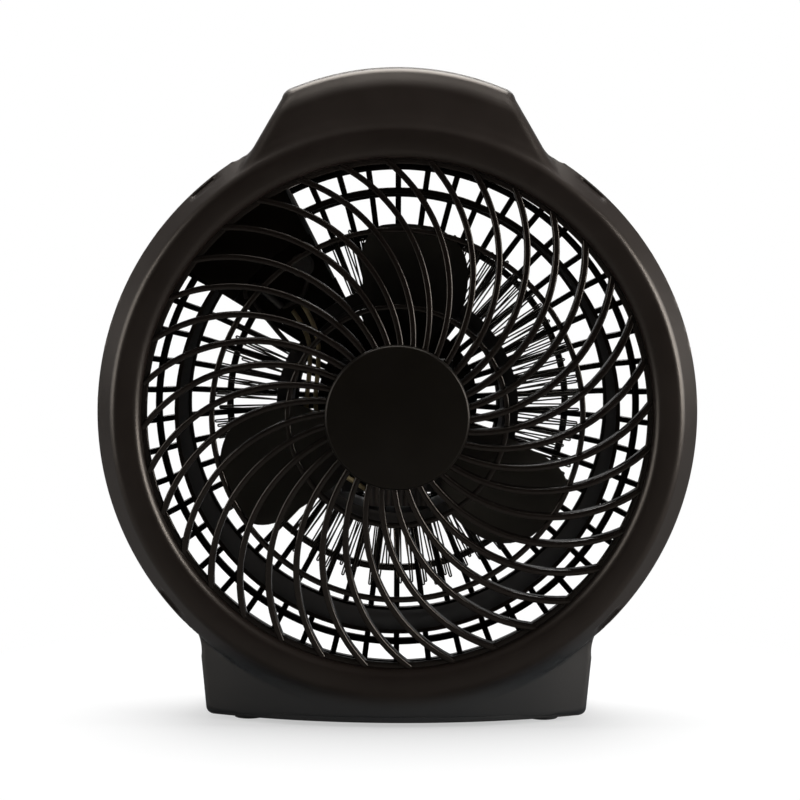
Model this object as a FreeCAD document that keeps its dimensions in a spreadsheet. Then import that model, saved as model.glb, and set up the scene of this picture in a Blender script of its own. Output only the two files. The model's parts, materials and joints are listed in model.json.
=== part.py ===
import FreeCAD, Part
import collections
import math
import os
import Sketcher
import types

# A compact round fan heater that stands on its own base.
# Working frame: origin on the fan axis, X to the right as seen from the front, Y to the back, Z up,
# and Y = 0 at the front edge of the drum wall. Each finished piece is then lifted so that
# the floor is Z = 0 and the heater is centred front to back.

SIZES = {
    # Drum and bezel of the housing
    "drum_radius": 120.0,
    "wall": 2.5,
    "split_depth": 12.0,
    "bezel_edge_radius": 113.3,
    "bezel_edge_reach": 9.3,
    "bezel_crown_radius": 9.0,
    "lip_radius": 103.2,
    "lip_reach": 8.0,
    "lip_thickness": 2.5,
    "rear_shoulder_radius": 117.5,
    "rear_shoulder_depth": 30.0,
    "rear_round_radius": 16.0,
    "rear_edge_radius": 114.6,
    "rear_edge_depth": 42.0,
    "rear_opening_radius": 109.5,
    # Carrying handle, a hood over the top of the drum
    "handle_crest": 138.0,
    "handle_arch_radius": 112.0,
    "handle_brow_drop": 7.8,
    "handle_brow_reach": 4.2,
    "handle_face_reach": 11.8,
    "handle_face_drop": 34.0,
    "handle_crown_radius": 14.0,
    "handle_crown_depth": 6.5,
    "handle_root_half_width": 66.0,
    "handle_root_blend": 14.0,
    "handle_neck_half_width": 57.2,
    "handle_neck_height": 106.4,
    "handle_corner_half_width": 46.4,
    "handle_corner_height": 125.3,
    "handle_corner_radius": 6.0,
    "handle_arch_half_width": 42.0,
    "handle_back": 38.0,
    "handle_back_drop": 0.8,
    "handle_flank_foot": 90.0,
    "grip_front": 1.0,
    "grip_side_wall": 3.0,
    # Base
    "base_drop": 123.2,
    "base_half_width": 77.4,
    "base_corner_radius": 3.0,
    "base_flare_half_width": 79.4,
    "base_flare_drop": 100.0,
    "base_root_half_width": 86.0,
    "base_root_blend": 18.0,
    "base_bow_radius": 172.0,
    "base_side_depth": 24.0,
    "base_back_half_width": 73.0,
    "base_back_depth": 60.0,
    "base_back_corner": 20.0,
    "base_flat_half_width": 56.0,
    "base_flat_depth": 68.0,
    "base_trough_radius": 114.5,
    "base_slope_depth": 18.0,
    "base_slope_drop": 80.0,
    "base_heel_start": 46.0,
    "base_heel_drop": 108.0,
    "base_heel_depth": 80.0,
    "base_plate_thickness": 2.2,
    "foot_height": 2.0,
    "foot_radius": 6.0,
    "foot_plug_radius": 2.5,
    "foot_half_spacing": 60.0,
    "foot_front_depth": 13.0,
    "foot_back_half_spacing": 54.0,
    "foot_back_depth": 52.0,
    # Front guard
    "vane_count": 36,
    "vane_width": 2.4,
    "vane_arc_radius": 65.2,
    "vane_arc_offset": 66.8,
    "vane_arc_angle": 42.1,
    "vane_inner_radius": 25.0,
    "vane_outer_radius": 101.5,
    "guard_hub_reach": 14.0,
    "guard_hub_radius": 28.2,
    "guard_hub_thickness": 3.0,
    "guard_rim_front": 6.4,
    "guard_vane_depth": 8.0,
    "guard_dome_radius": 420.0,
    "guard_rim_inner_radius": 99.7,
    "guard_rim_outer_radius": 106.0,
    "guard_rim_thickness": 2.6,
    "guard_ring_width": 2.2,
    "guard_ring_thickness": 2.4,
    "guard_ring_setback": 1.9,
    "guard_outer_ring_radius": 73.7,
    "guard_inner_ring_radius": 43.5,
    # Centre cap
    "cap_radius": 28.7,
    "cap_edge_reach": 17.0,
    "cap_crown_reach": 19.5,
    "cap_dome_radius": 140.0,
    "cap_wall": 2.0,
    # Rear guard
    "spoke_count": 50,
    "spoke_width": 2.4,
    "dome_thickness": 3.0,
    "dome_rim_radius": 109.4,
    "dome_rim_depth": 38.5,
    "dome_waist_radius": 99.4,
    "dome_waist_depth": 45.0,
    "dome_turn_radius": 90.0,
    "dome_turn_depth": 59.5,
    "dome_mid_radius": 71.1,
    "dome_mid_depth": 65.0,
    "dome_hub_radius": 34.0,
    "dome_hub_depth": 70.0,
    "ring_width": 2.8,
    "inner_ring_radius": 43.4,
    "seat_ring_radius": 45.5,
    "seat_ring_width": 6.0,
    "seat_ring_depth": 63.4,
    "rear_rim_radius": 112.0,
    "rear_rim_thickness": 3.0,
    # Collar round the fan
    "shroud_radius": 89.6,
    "shroud_thickness": 1.6,
    "shroud_front": 4.7,
    "shroud_back": 54.0,
    "shroud_seat_width": 4.0,
    # Control box and its two knobs, in a sector at the upper left
    "box_start_angle": 117.0,
    "box_end_angle": 146.0,
    "box_inner_radius": 59.0,
    "box_step_radius": 80.0,
    "box_outer_radius": 104.8,
    "box_front": 12.0,
    "box_step_depth": 34.0,
    "box_back": 66.0,
    "box_wall": 2.0,
    "box_clearance": 0.3,
    "cover_thickness": 2.0,
    "knob_radius": 10.6,
    "knob_grip_half_width": 2.4,
    "knob_height": 11.0,
    "knob_skirt_height": 4.0,
    "knob_gap": 0.5,
    "spindle_radius": 3.0,
    "spindle_hole_radius": 3.6,
    "spindle_depth": 8.0,
    "selector_place_radius": 92.6,
    "thermostat_place_radius": 70.4,
    "switch_half_width": 9.5,
    "switch_depth": 15.0,
    "terminal_width": 26.0,
    "terminal_height": 9.0,
    "terminal_front": 18.0,
    "terminal_depth": 14.0,
    "thermostat_body_radius": 9.0,
    "thermostat_depth": 12.0,
    # Motor
    "core_half_width": 23.0,
    "core_top": 19.0,
    "core_drop": 35.5,
    "core_front": 36.0,
    "core_thickness": 16.0,
    "bore_radius": 13.3,
    "air_gap": 0.4,
    "window_half_width": 13.0,
    "window_top_drop": 18.0,
    "limb_height": 8.0,
    "coil_half_width": 12.4,
    "coil_build": 5.0,
    "coil_top_build": 8.5,
    "coil_clearance": 0.3,
    "bracket_half_height": 8.0,
    "bracket_thickness": 2.0,
    "bracket_leg_height": 4.0,
    "bracket_leg_inner": 16.0,
    "bush_radius": 6.0,
    "bush_length": 5.0,
    "shaft_radius": 2.5,
    "running_gap": 0.05,
    "shaft_front": 3.0,
    "motor_screw_offset": 19.5,
    "motor_boss_radius": 4.0,
    "screw_radius": 1.5,
    "screw_head_radius": 2.9,
    "screw_head_height": 2.0,
    "screw_clearance": 0.2,
    "base_screw_head_height": 1.4,
    # Fan
    "fan_hub_radius": 9.5,
    "fan_hub_front": 8.0,
    "fan_hub_back": 26.0,
    "blade_count": 3,
    "blade_angle": 6.0,
    "blade_pitch": 23.0,
    "blade_centre": 17.0,
    "blade_thickness": 1.6,
    "blade_tip_radius": 76.0,
    "blade_half_chord": 23.5,
    "blade_root_half_width": 7.0,
    "blade_root_radius": 6.6,
    "blade_lead_neck_radius": 24.3,
    "blade_lead_swell_radius": 44.0,
    "blade_lead_round": 32.0,
    "blade_lead_tip_offset": 7.0,
    "blade_trail_tip_offset": 18.8,
    "blade_trail_corner_radius": 66.9,
    "blade_trail_waist_offset": 18.8,
    "blade_trail_waist_radius": 31.9,
    "blade_trail_neck_radius": 18.2,
    "nut_radius": 5.0,
    "nut_thickness": 2.5,
    # Heating element
    "hairpin_count": 72,
    "hairpin_start_angle": 152.0,
    "hairpin_sweep": 322.0,
    "element_inner_radius": 47.0,
    "element_outer_radius": 74.2,
    "wire_radius": 0.28,
    "front_wire_depth": 34.4,
    "rear_wire_depth": 44.4,
    "mica_radius": 45.0,
    "mica_thickness": 1.5,
    "mica_front": 30.5,
    "mica_flange_radius": 50.0,
    "mica_flange_thickness": 0.8,
    "mica_grip_gap": 0.04,
    "cutout_radius": 5.0,
    "cutout_height": 4.2,
    "cutout_place_radius": 70.5,
    "cutout_place_angle": 124.0,
    "fuse_radius": 2.0,
    "fuse_inner_radius": 63.0,
    "fuse_outer_radius": 77.0,
    "fuse_angle": 139.0,
    "lead_radius": 1.0,
    "lead_notch_start_angle": 128.0,
    "lead_notch_end_angle": 150.0,
    "lead_notch_depth": 50.0,
    # Fixings
    "boss_radius": 4.2,
    "boss_place_radius": 110.8,
    "boss_left_angle": 244.0,
    "boss_right_angle": 296.0,
    "boss_front_reach": 6.4,
    "boss_back": 33.0,
    "boss_seat_depth": 27.0,
    "pilot_depth": 12.0,
    "slot_place_radius": 118.6,
    "slot_width": 13.6,
    "slot_height": 2.2,
    "slot_reach": 7.0,
    "slot_upper_right_angle": 49.5,
    "slot_upper_left_angle": 130.5,
    "slot_lower_left_angle": 220.0,
    "slot_lower_right_angle": 316.0,
    "base_boss_half_spacing": 66.0,
    "base_boss_depth": 28.0,
    "base_boss_height": 30.0,
    "gland_radius": 4.4,
    "gland_flange_radius": 5.6,
    "gland_flange_thickness": 1.6,
    "gland_bore_radius": 3.4,
    "gland_length": 9.0,
    "gland_rise": 8.0,
    "gland_offset": 46.0,
}
# How far a cutting shape runs past what it cuts
OVERRUN = 2.0
# Spacing of the points on which a wire's gap to itself is measured
GAP_STEP = 1.5

Bend = collections.namedtuple("Bend", "side radius")


class Size:
    """A number together with the sheet formula that gives it."""

    def __init__(self, value, formula):
        self.value = float(value)
        self.formula = formula

    def __add__(self, other):
        other = as_size(other)
        return Size(self.value + other.value, f"({self.formula} + {other.formula})")

    def __sub__(self, other):
        other = as_size(other)
        return Size(self.value - other.value, f"({self.formula} - {other.formula})")

    def __mul__(self, other):
        other = as_size(other)
        return Size(self.value * other.value, f"({self.formula} * {other.formula})")

    def __truediv__(self, other):
        other = as_size(other)
        return Size(self.value / other.value, f"({self.formula} / {other.formula})")

    def __radd__(self, other):
        return as_size(other) + self

    def __rsub__(self, other):
        return as_size(other) - self

    def __rmul__(self, other):
        return as_size(other) * self

    def __neg__(self):
        return Size(-self.value, f"(-{self.formula})")


def as_size(number):
    if isinstance(number, Size):
        return number
    return Size(number, repr(float(number)))


def cos_of(angle):
    angle = as_size(angle)
    return Size(math.cos(math.radians(angle.value)), f"cos({angle.formula})")


def sin_of(angle):
    angle = as_size(angle)
    return Size(math.sin(math.radians(angle.value)), f"sin({angle.formula})")


def angle_of_cosine(ratio):
    return Size(math.degrees(math.acos(ratio.value)), f"(acos({ratio.formula}) / 1deg)")


def chord_height(radius, half_chord):
    """Distance from a circle's centre to a chord of that half length."""
    square = radius * radius - half_chord * half_chord
    return Size(math.sqrt(square.value), f"sqrt({square.formula})")


def polar(radius, angle):
    return radius * cos_of(angle), radius * sin_of(angle)


doc = FreeCAD.newDocument("fan_heater")
sheet = doc.addObject("Spreadsheet::Sheet", "sizes")
for row, (name, number) in enumerate(SIZES.items(), 1):
    sheet.set(f"A{row}", name)
    sheet.set(f"B{row}", str(number))
    sheet.setAlias(f"B{row}", name)
doc.recompute()
size = types.SimpleNamespace()
for name in SIZES:
    setattr(size, name, Size(sheet.get(name), f"sizes.{name}"))

# Where the working frame stands in the finished one
axis_height = size.base_drop + size.foot_height
knob_back = size.box_back + size.knob_gap + size.knob_height
centre_shift = (size.cap_crown_reach - knob_back) / 2
pieces = {}


# Drawing helpers

def bind(target, property_name, value):
    target.setExpression(property_name, as_size(value).formula)


def dimension(sketch, value, kind, *places):
    index = sketch.addConstraint(Sketcher.Constraint(kind, *places, value.value))
    label = f"{kind}_{index}"
    sketch.renameConstraint(index, label)
    sketch.setExpression(f"Constraints.{label}", value.formula)


def locate(sketch, number, end, corner):
    for kind, axis, value in (("DistanceX", -2, corner[0]), ("DistanceY", -1, corner[1])):
        if value.value == 0:
            sketch.addConstraint(Sketcher.Constraint("PointOnObject", number, end, axis))
        elif value.value < 0:
            dimension(sketch, -value, kind, number, end, -1, 1)
        else:
            dimension(sketch, value, kind, -1, 1, number, end)


def arc_between(start, end, bend):
    middle = (start + end) * 0.5
    along = end - start
    rise = math.sqrt(bend.radius.value ** 2 - (along.Length / 2) ** 2)
    left = FreeCAD.Vector(-along.y, along.x, 0).normalize()
    turn = 1 if bend.side == "left" else -1
    centre = middle + left * rise * turn
    first, last = (start, end) if turn == 1 else (end, start)
    circle = Part.Circle(centre, FreeCAD.Vector(0, 0, 1), bend.radius.value)
    angles = [math.atan2(point.y - centre.y, point.x - centre.x) for point in (first, last)]
    return Part.ArcOfCircle(circle, *angles)


def draw(sketch, outline):
    """Closed outline of corners (x, y); a Bend after a corner makes the side that follows an arc."""
    corners = []
    bends = []
    for step in outline:
        if isinstance(step, Bend):
            bends[-1] = Bend(step.side, as_size(step.radius))
        else:
            corners.append([as_size(value) for value in step])
            bends.append(None)
    points = [FreeCAD.Vector(x.value, y.value, 0) for x, y in corners]
    starts = []
    ends = []
    for index, bend in enumerate(bends):
        start = points[index]
        end = points[(index + 1) % len(points)]
        if bend is None:
            number = sketch.addGeometry(Part.LineSegment(start, end), False)
            order = (1, 2)
        else:
            number = sketch.addGeometry(arc_between(start, end, bend), False)
            order = (1, 2) if bend.side == "left" else (2, 1)
        starts.append((number, order[0]))
        ends.append((number, order[1]))
    for index, end in enumerate(ends):
        following = starts[(index + 1) % len(starts)]
        sketch.addConstraint(Sketcher.Constraint("Coincident", *end, *following))
    for (number, end), corner in zip(starts, corners):
        locate(sketch, number, end, corner)
    for (number, end), bend in zip(starts, bends):
        if bend is not None:
            dimension(sketch, bend.radius, "Radius", number)


def new_sketch(body, role, offset=0):
    plane = next(item for item in body.Origin.OriginFeatures if item.Role == role)
    sketch = body.newObject("Sketcher::SketchObject", body.Name + "_sketch")
    sketch.AttachmentSupport = [(plane, "")]
    sketch.MapMode = "FlatFace"
    bind(sketch, "AttachmentOffset.Base.z", offset)
    return sketch


def new_body(label):
    body = doc.addObject("PartDesign::Body", label)
    body.AllowCompound = True
    return body


def add_pad(body, sketch, length, backwards=False):
    pad = body.newObject("PartDesign::Pad", body.Name + "_pad")
    pad.Profile = sketch
    pad.Reversed = backwards
    bind(pad, "Length", length)
    return pad


def slab(label, outline, near, far):
    """Front view outline (x, z), thick from depth near to depth far."""
    body = new_body(label)
    sketch = new_sketch(body, "XZ_Plane", -as_size(near))
    draw(sketch, outline)
    add_pad(body, sketch, far - near, backwards=True)
    return body


def plate(label, outline, low, high):
    """Plan outline (x, y), thick from height low to height high."""
    body = new_body(label)
    sketch = new_sketch(body, "XY_Plane", low)
    draw(sketch, outline)
    add_pad(body, sketch, high - low)
    return body


def bar(label, outline, half_width):
    """Side view outline (y, z), as wide as twice half_width."""
    body = new_body(label)
    sketch = new_sketch(body, "YZ_Plane", -half_width)
    draw(sketch, outline)
    add_pad(body, sketch, half_width * 2)
    return body


def turned(label, outline):
    """Outline (radius, y) turned about the fan axis."""
    body = new_body(label)
    sketch = new_sketch(body, "XY_Plane")
    draw(sketch, outline)
    turn = body.newObject("PartDesign::Revolution", body.Name + "_turn")
    turn.Profile = sketch
    turn.ReferenceAxis = (sketch, ["V_Axis"])
    turn.Angle = 360
    return body


def band(label, inner, outer, near, far):
    return turned(label, [(inner, near), (outer, near), (outer, far), (inner, far)])


def around(body, feature, count):
    """Copies of a feature spread evenly about the fan axis."""
    axis = next(item for item in body.Origin.OriginFeatures if item.Role == "Y_Axis")
    pattern = body.newObject("PartDesign::PolarPattern", body.Name + "_pattern")
    pattern.Originals = [feature]
    pattern.Axis = (axis, [""])
    pattern.Angle = 360
    bind(pattern, "Occurrences", count)
    body.Tip = pattern


def set_place(item, x, y, z):
    for axis, value in zip("xyz", (x, y, z)):
        bind(item, f"Placement.Base.{axis}", value)


def rod(label, radius, near, far, x=0, z=0):
    """Round bar along the depth."""
    item = doc.addObject("Part::Cylinder", label)
    item.Placement = FreeCAD.Placement(FreeCAD.Vector(), FreeCAD.Rotation(FreeCAD.Vector(1, 0, 0), -90))
    bind(item, "Radius", radius)
    bind(item, "Height", far - near)
    set_place(item, x, near, z)
    return item


def post(label, radius, low, high, x, y):
    """Round bar that stands upright."""
    item = doc.addObject("Part::Cylinder", label)
    bind(item, "Radius", radius)
    bind(item, "Height", high - low)
    set_place(item, x, y, low)
    return item


def block(label, x_span, y_span, z_span):
    item = doc.addObject("Part::Box", label)
    for name, (low, high) in zip(("Length", "Width", "Height"), (x_span, y_span, z_span)):
        bind(item, name, high - low)
    set_place(item, x_span[0], y_span[0], z_span[0])
    return item


def fuse(label, *items):
    result = doc.addObject("Part::MultiFuse", label)
    result.Shapes = list(items)
    return result


def common(label, *items):
    result = doc.addObject("Part::MultiCommon", label)
    result.Shapes = list(items)
    return result


def cut(label, base, *tools):
    result = doc.addObject("Part::Cut", label)
    result.Base = base
    result.Tool = tools[0] if len(tools) == 1 else fuse(f"{label}_tools", *tools)
    return result


def group(label, *items):
    result = doc.addObject("Part::Compound", label)
    result.Links = list(items)
    return result


def finish(label, item):
    """Names a finished piece and lifts it from the working frame into the finished one."""
    item.Label = label
    set_place(item, 0, centre_shift, axis_height)
    pieces[label] = item
    return item


def sector(inner, outer, start, end):
    return [
        polar(outer, start), Bend("left", outer), polar(outer, end),
        polar(inner, end), Bend("right", inner), polar(inner, start),
    ]


def tangent_rectangle(radius, angle, width, height):
    """Rectangle at a place on a circle, its width along the circle."""
    corners = []
    for along, out in ((-1, -1), (1, -1), (1, 1), (-1, 1)):
        reach = radius + height * out / 2
        side = width * along / 2
        corners.append((
            reach * cos_of(angle) - side * sin_of(angle),
            reach * sin_of(angle) + side * cos_of(angle),
        ))
    return corners


# Shapes that both housings share

drum_bore = size.drum_radius - size.wall
front_end = -size.cap_crown_reach - OVERRUN
axis_core = rod("axis_core", size.bezel_edge_radius, front_end - OVERRUN, size.base_heel_depth)
handle_root_height = chord_height(size.drum_radius, size.handle_root_half_width)
arch_centre = size.handle_crest - size.handle_arch_radius
handle_arch_height = arch_centre + chord_height(size.handle_arch_radius, size.handle_arch_half_width)
base_root_drop = chord_height(size.drum_radius, size.base_root_half_width)
base_under = -size.base_drop


def handle_outline(blended):
    """Front view of the handle, its roots blended into the drum or sunk straight into it."""
    root = (size.handle_root_half_width, handle_root_height)
    neck = (size.handle_neck_half_width, size.handle_neck_height)
    corner = (size.handle_corner_half_width, size.handle_corner_height)
    arch = (size.handle_arch_half_width, handle_arch_height)
    top = [
        neck, corner, Bend("left", size.handle_corner_radius), arch,
        Bend("left", size.handle_arch_radius), (-arch[0], arch[1]),
        Bend("left", size.handle_corner_radius), (-corner[0], corner[1]), (-neck[0], neck[1]),
    ]
    if not blended:
        return [(neck[0], size.handle_flank_foot), *top, (-neck[0], size.handle_flank_foot)]
    blend = Bend("right", size.handle_root_blend)
    return [root, blend, *top, blend, (-root[0], root[1])]


def grip_outline():
    inset = size.grip_side_wall
    low = size.handle_neck_half_width - inset
    high = size.handle_arch_half_width - inset
    arch = size.handle_arch_radius - size.wall
    top = arch_centre + chord_height(arch, high)
    return [
        (low, size.handle_neck_height),
        (size.handle_corner_half_width - inset, size.handle_corner_height - inset),
        (high, top), Bend("left", arch), (-high, top),
        (inset - size.handle_corner_half_width, size.handle_corner_height - inset),
        (-low, size.handle_neck_height),
    ]


def base_outline():
    half = size.base_half_width
    flare = (size.base_flare_half_width, -size.base_flare_drop)
    root = (size.base_root_half_width, -base_root_drop)
    corner = size.base_corner_radius
    return [
        (half - corner, base_under), Bend("left", corner), (half, base_under + corner), flare,
        Bend("right", size.base_root_blend), root, (-root[0], root[1]),
        Bend("right", size.base_root_blend), (-flare[0], flare[1]), (-half, base_under + corner),
        Bend("left", corner), (corner - half, base_under),
    ]


def base_hollow_outline():
    half = size.base_half_width - size.wall
    flare = (size.base_flare_half_width - size.wall, -size.base_flare_drop)
    root = (size.base_root_half_width - size.wall, -base_root_drop)
    under = base_under - OVERRUN
    return [
        (half, under), flare, Bend("right", size.base_root_blend), root, (-root[0], root[1]),
        Bend("right", size.base_root_blend), (-flare[0], flare[1]), (-half, under),
    ]


def base_plan(inset):
    front = (size.base_root_half_width - inset, size.split_depth)
    side = (front[0], size.base_side_depth)
    back = (size.base_back_half_width - inset, size.base_back_depth - inset)
    flat = (size.base_flat_half_width - inset, size.base_flat_depth - inset)
    corner = Bend("left", size.base_back_corner)
    return [
        (-front[0], front[1]), Bend("left", size.base_bow_radius - inset), front, side, back, corner, flat,
        (-flat[0], flat[1]), corner, (-back[0], back[1]), (-side[0], side[1]),
    ]


def base_side(inset, front):
    return [
        (front, base_under - inset - OVERRUN), (size.base_heel_depth, base_under - inset - OVERRUN),
        (size.base_heel_depth, -size.base_heel_drop - inset),
        (size.base_heel_start - inset, -size.base_heel_drop - inset),
        (size.base_slope_depth - inset, -size.base_slope_drop - inset),
        (front, -size.base_slope_drop - inset),
    ]


plan_top = OVERRUN - size.base_slope_drop
drum_front = turned("drum_front", [
    (0, -size.lip_reach), (size.lip_radius, -size.lip_reach),
    Bend("left", size.bezel_crown_radius), (size.bezel_edge_radius, -size.bezel_edge_reach),
    (size.drum_radius, 0), (size.drum_radius, size.split_depth), (0, size.split_depth),
])
drum_rear = turned("drum_rear", [
    (0, size.split_depth), (size.drum_radius, size.split_depth),
    (size.rear_shoulder_radius, size.rear_shoulder_depth),
    Bend("left", size.rear_round_radius), (size.rear_edge_radius, size.rear_edge_depth),
    (0, size.rear_edge_depth),
])
drum_outside = fuse("drum_outside", drum_front, drum_rear)
base_form = plate("base_form", base_plan(as_size(0)), base_under - OVERRUN, plan_top)
base_hollow_block = common(
    "base_hollow_block",
    slab("base_hollow_front_view", base_hollow_outline(), front_end, size.base_heel_depth),
    plate("base_hollow_plan", base_plan(size.wall), base_under - 2 * OVERRUN, plan_top),
    bar("base_hollow_side", base_side(size.wall, front_end), size.drum_radius),
)
trough_front = size.rear_edge_depth - size.wall
trough_lining = rod("trough_lining", size.base_trough_radius + size.wall, trough_front, size.base_heel_depth)
base_hollow = cut("base_hollow", base_hollow_block, drum_outside, trough_lining)
handle_flanks = slab("handle_flanks", handle_outline(False), front_end, size.base_heel_depth)
handle_blends = slab("handle_blends", handle_outline(True), 0, size.split_depth + OVERRUN)
grip_block = slab("grip_block", grip_outline(), size.grip_front, size.base_heel_depth)
grip_hollow = cut("grip_hollow", grip_block, drum_outside)


def boss_places():
    return [polar(size.boss_place_radius, angle) for angle in (size.boss_left_angle, size.boss_right_angle)]


# Front housing: bezel ring, shoulder, handle face and front of the base

handle_front_form = turned("handle_front_form", [
    (0, -size.handle_face_reach),
    (size.handle_arch_radius - size.handle_face_drop, -size.handle_face_reach),
    (size.handle_arch_radius - size.handle_brow_drop, -size.handle_brow_reach),
    Bend("left", size.handle_crown_radius), (size.handle_arch_radius, size.handle_crown_depth),
    (size.handle_arch_radius + OVERRUN, size.split_depth), (0, size.split_depth),
])
bind(handle_front_form, "Placement.Base.z", arch_centre)
handle_front = cut(
    "handle_front",
    common("handle_front_block", handle_front_form, fuse("handle_front_view", handle_flanks, handle_blends)),
    axis_core,
)
base_front = cut(
    "base_front",
    common(
        "base_front_block", base_form,
        slab("base_front_view", base_outline(), front_end, size.split_depth),
    ),
    axis_core,
)
front_cavity = turned("front_cavity", [
    (0, front_end), (size.lip_radius, front_end),
    (size.lip_radius, size.lip_thickness - size.lip_reach),
    (size.bezel_edge_radius - size.wall, size.lip_thickness - size.lip_reach),
    (drum_bore, size.wall / 2), (drum_bore, size.split_depth + OVERRUN), (0, size.split_depth + OVERRUN),
])
front_shell = cut(
    "front_shell", fuse("front_outside", drum_front, handle_front, base_front),
    front_cavity, grip_hollow, base_hollow,
)
front_bosses = [
    rod(f"front_boss_{index}", size.boss_radius, -size.boss_front_reach, size.split_depth, x, z)
    for index, (x, z) in enumerate(boss_places())
]
pilot_holes = [
    rod(f"pilot_hole_{index}", size.screw_radius + size.running_gap,
        size.split_depth - size.pilot_depth, size.split_depth, x, z)
    for index, (x, z) in enumerate(boss_places())
]
slot_angles = (
    size.slot_upper_right_angle, size.slot_upper_left_angle,
    size.slot_lower_left_angle, size.slot_lower_right_angle,
)
snap_slots = [
    slab(f"snap_slot_{index}",
         tangent_rectangle(size.slot_place_radius, angle, size.slot_width, size.slot_height),
         -size.slot_reach, size.slot_reach)
    for index, angle in enumerate(slot_angles)
]
finish("front_housing", cut(
    "front_housing", fuse("front_with_bosses", front_shell, *front_bosses), *pilot_holes, *snap_slots,
))

# Rear housing: drum wall, hood of the handle and back of the base

handle_rear_form = turned("handle_rear_form", [
    (0, size.split_depth), (size.handle_arch_radius + OVERRUN, size.split_depth),
    (size.handle_arch_radius, (size.split_depth + size.handle_back) / 2),
    (size.handle_arch_radius - size.handle_back_drop, size.handle_back), (0, size.handle_back),
])
bind(handle_rear_form, "Placement.Base.z", arch_centre)
handle_rear = common("handle_rear", handle_rear_form, handle_flanks)
base_rear = cut(
    "base_rear",
    common(
        "base_rear_block", base_form,
        slab("base_rear_view", base_outline(), size.split_depth, size.base_heel_depth + OVERRUN),
        bar("base_rear_side", base_side(as_size(0), size.split_depth), size.drum_radius),
    ),
    rod("air_trough", size.base_trough_radius, size.rear_edge_depth, size.base_heel_depth),
)
rear_cavity_shoulder = size.rear_shoulder_radius - size.wall
rear_seat_depth = size.rear_edge_depth - size.wall
rear_cavity = turned("rear_cavity", [
    (0, size.split_depth - OVERRUN), (drum_bore, size.split_depth - OVERRUN), (drum_bore, size.split_depth),
    (rear_cavity_shoulder, size.rear_shoulder_depth - size.wall / 2),
    (size.rear_rim_radius + size.box_clearance, rear_seat_depth - size.rear_rim_thickness),
    (size.rear_rim_radius + size.box_clearance, rear_seat_depth),
    (size.rear_opening_radius, rear_seat_depth),
    (size.rear_opening_radius, size.rear_edge_depth + OVERRUN), (0, size.rear_edge_depth + OVERRUN),
])
rear_shell = cut(
    "rear_shell", fuse("rear_outside", drum_rear, handle_rear, base_rear), grip_hollow, base_hollow,
)
base_boss_low = base_under + size.base_plate_thickness
base_screw_places = [
    (size.base_boss_half_spacing * side, size.base_boss_depth) for side in (-1, 1)
]
base_bosses = [
    post(f"base_boss_{index}", size.boss_radius, base_boss_low, base_boss_low + size.base_boss_height, x, y)
    for index, (x, y) in enumerate(base_screw_places)
]
base_pilots = [
    post(f"base_pilot_{index}", size.screw_radius + size.running_gap, base_boss_low,
         base_boss_low + size.pilot_depth, x, y)
    for index, (x, y) in enumerate(base_screw_places)
]
rear_bosses = [
    rod(f"rear_boss_{index}", size.boss_radius, size.split_depth, size.boss_back, x, z)
    for index, (x, z) in enumerate(boss_places())
]
screw_wells = [
    rod(f"screw_well_{index}", size.screw_head_radius + size.screw_clearance,
        size.boss_seat_depth, size.rear_edge_depth, x, z)
    for index, (x, z) in enumerate(boss_places())
]
screw_holes = [
    rod(f"screw_hole_{index}", size.screw_radius + size.screw_clearance,
        size.split_depth, size.boss_seat_depth, x, z)
    for index, (x, z) in enumerate(boss_places())
]
gland_height = base_under + size.gland_rise
gland_hole = rod("gland_hole", size.gland_radius + size.running_gap, size.base_back_depth,
                 size.base_heel_depth, size.gland_offset, gland_height)
finish("rear_housing", cut(
    "rear_housing",
    fuse(
        "rear_with_bosses",
        cut("rear_hollowed", fuse("rear_with_feet", rear_shell, *base_bosses), rear_cavity),
        *rear_bosses,
    ),
    *screw_wells, *screw_holes, *base_pilots, gland_hole,
))

# Base plate with its rubber feet and screws

foot_places = [
    (spacing * side, depth)
    for spacing, depth in (
        (size.foot_half_spacing, size.foot_front_depth), (size.foot_back_half_spacing, size.foot_back_depth),
    )
    for side in (-1, 1)
]
plate_inset = size.wall + size.box_clearance
base_plate_block = common(
    "base_plate_block",
    plate("base_plate_plan", base_plan(plate_inset), base_under, base_boss_low),
    slab("base_plate_front_view", [
        (size.base_half_width - plate_inset, base_under - OVERRUN),
        (size.base_half_width - plate_inset, base_boss_low + OVERRUN),
        (plate_inset - size.base_half_width, base_boss_low + OVERRUN),
        (plate_inset - size.base_half_width, base_under - OVERRUN),
    ], front_end, size.base_heel_depth),
)
foot_holes = [
    post(f"foot_hole_{index}", size.foot_plug_radius + size.running_gap, base_under, base_boss_low, x, y)
    for index, (x, y) in enumerate(foot_places)
]
plate_holes = [
    post(f"plate_hole_{index}", size.screw_radius + size.screw_clearance, base_under, base_boss_low, x, y)
    for index, (x, y) in enumerate(base_screw_places)
]
finish("base_plate", cut("base_plate", base_plate_block, *foot_holes, *plate_holes))
feet = []
for index, (x, y) in enumerate(foot_places):
    pad = post(f"foot_pad_{index}", size.foot_radius, base_under - size.foot_height, base_under, x, y)
    plug = post(f"foot_plug_{index}", size.foot_plug_radius, base_under, base_boss_low, x, y)
    feet.append(fuse(f"foot_{index}", pad, plug))
finish("rubber_feet", group("rubber_feet", *feet))


# Front guard: swirling vanes on a shallow dome, with a rim, two stiffening rings and a hub plate

vane_cosine = (size.vane_arc_offset * size.vane_arc_offset + size.vane_arc_radius * size.vane_arc_radius)
vane_product = size.vane_arc_offset * size.vane_arc_radius * 2


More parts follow.
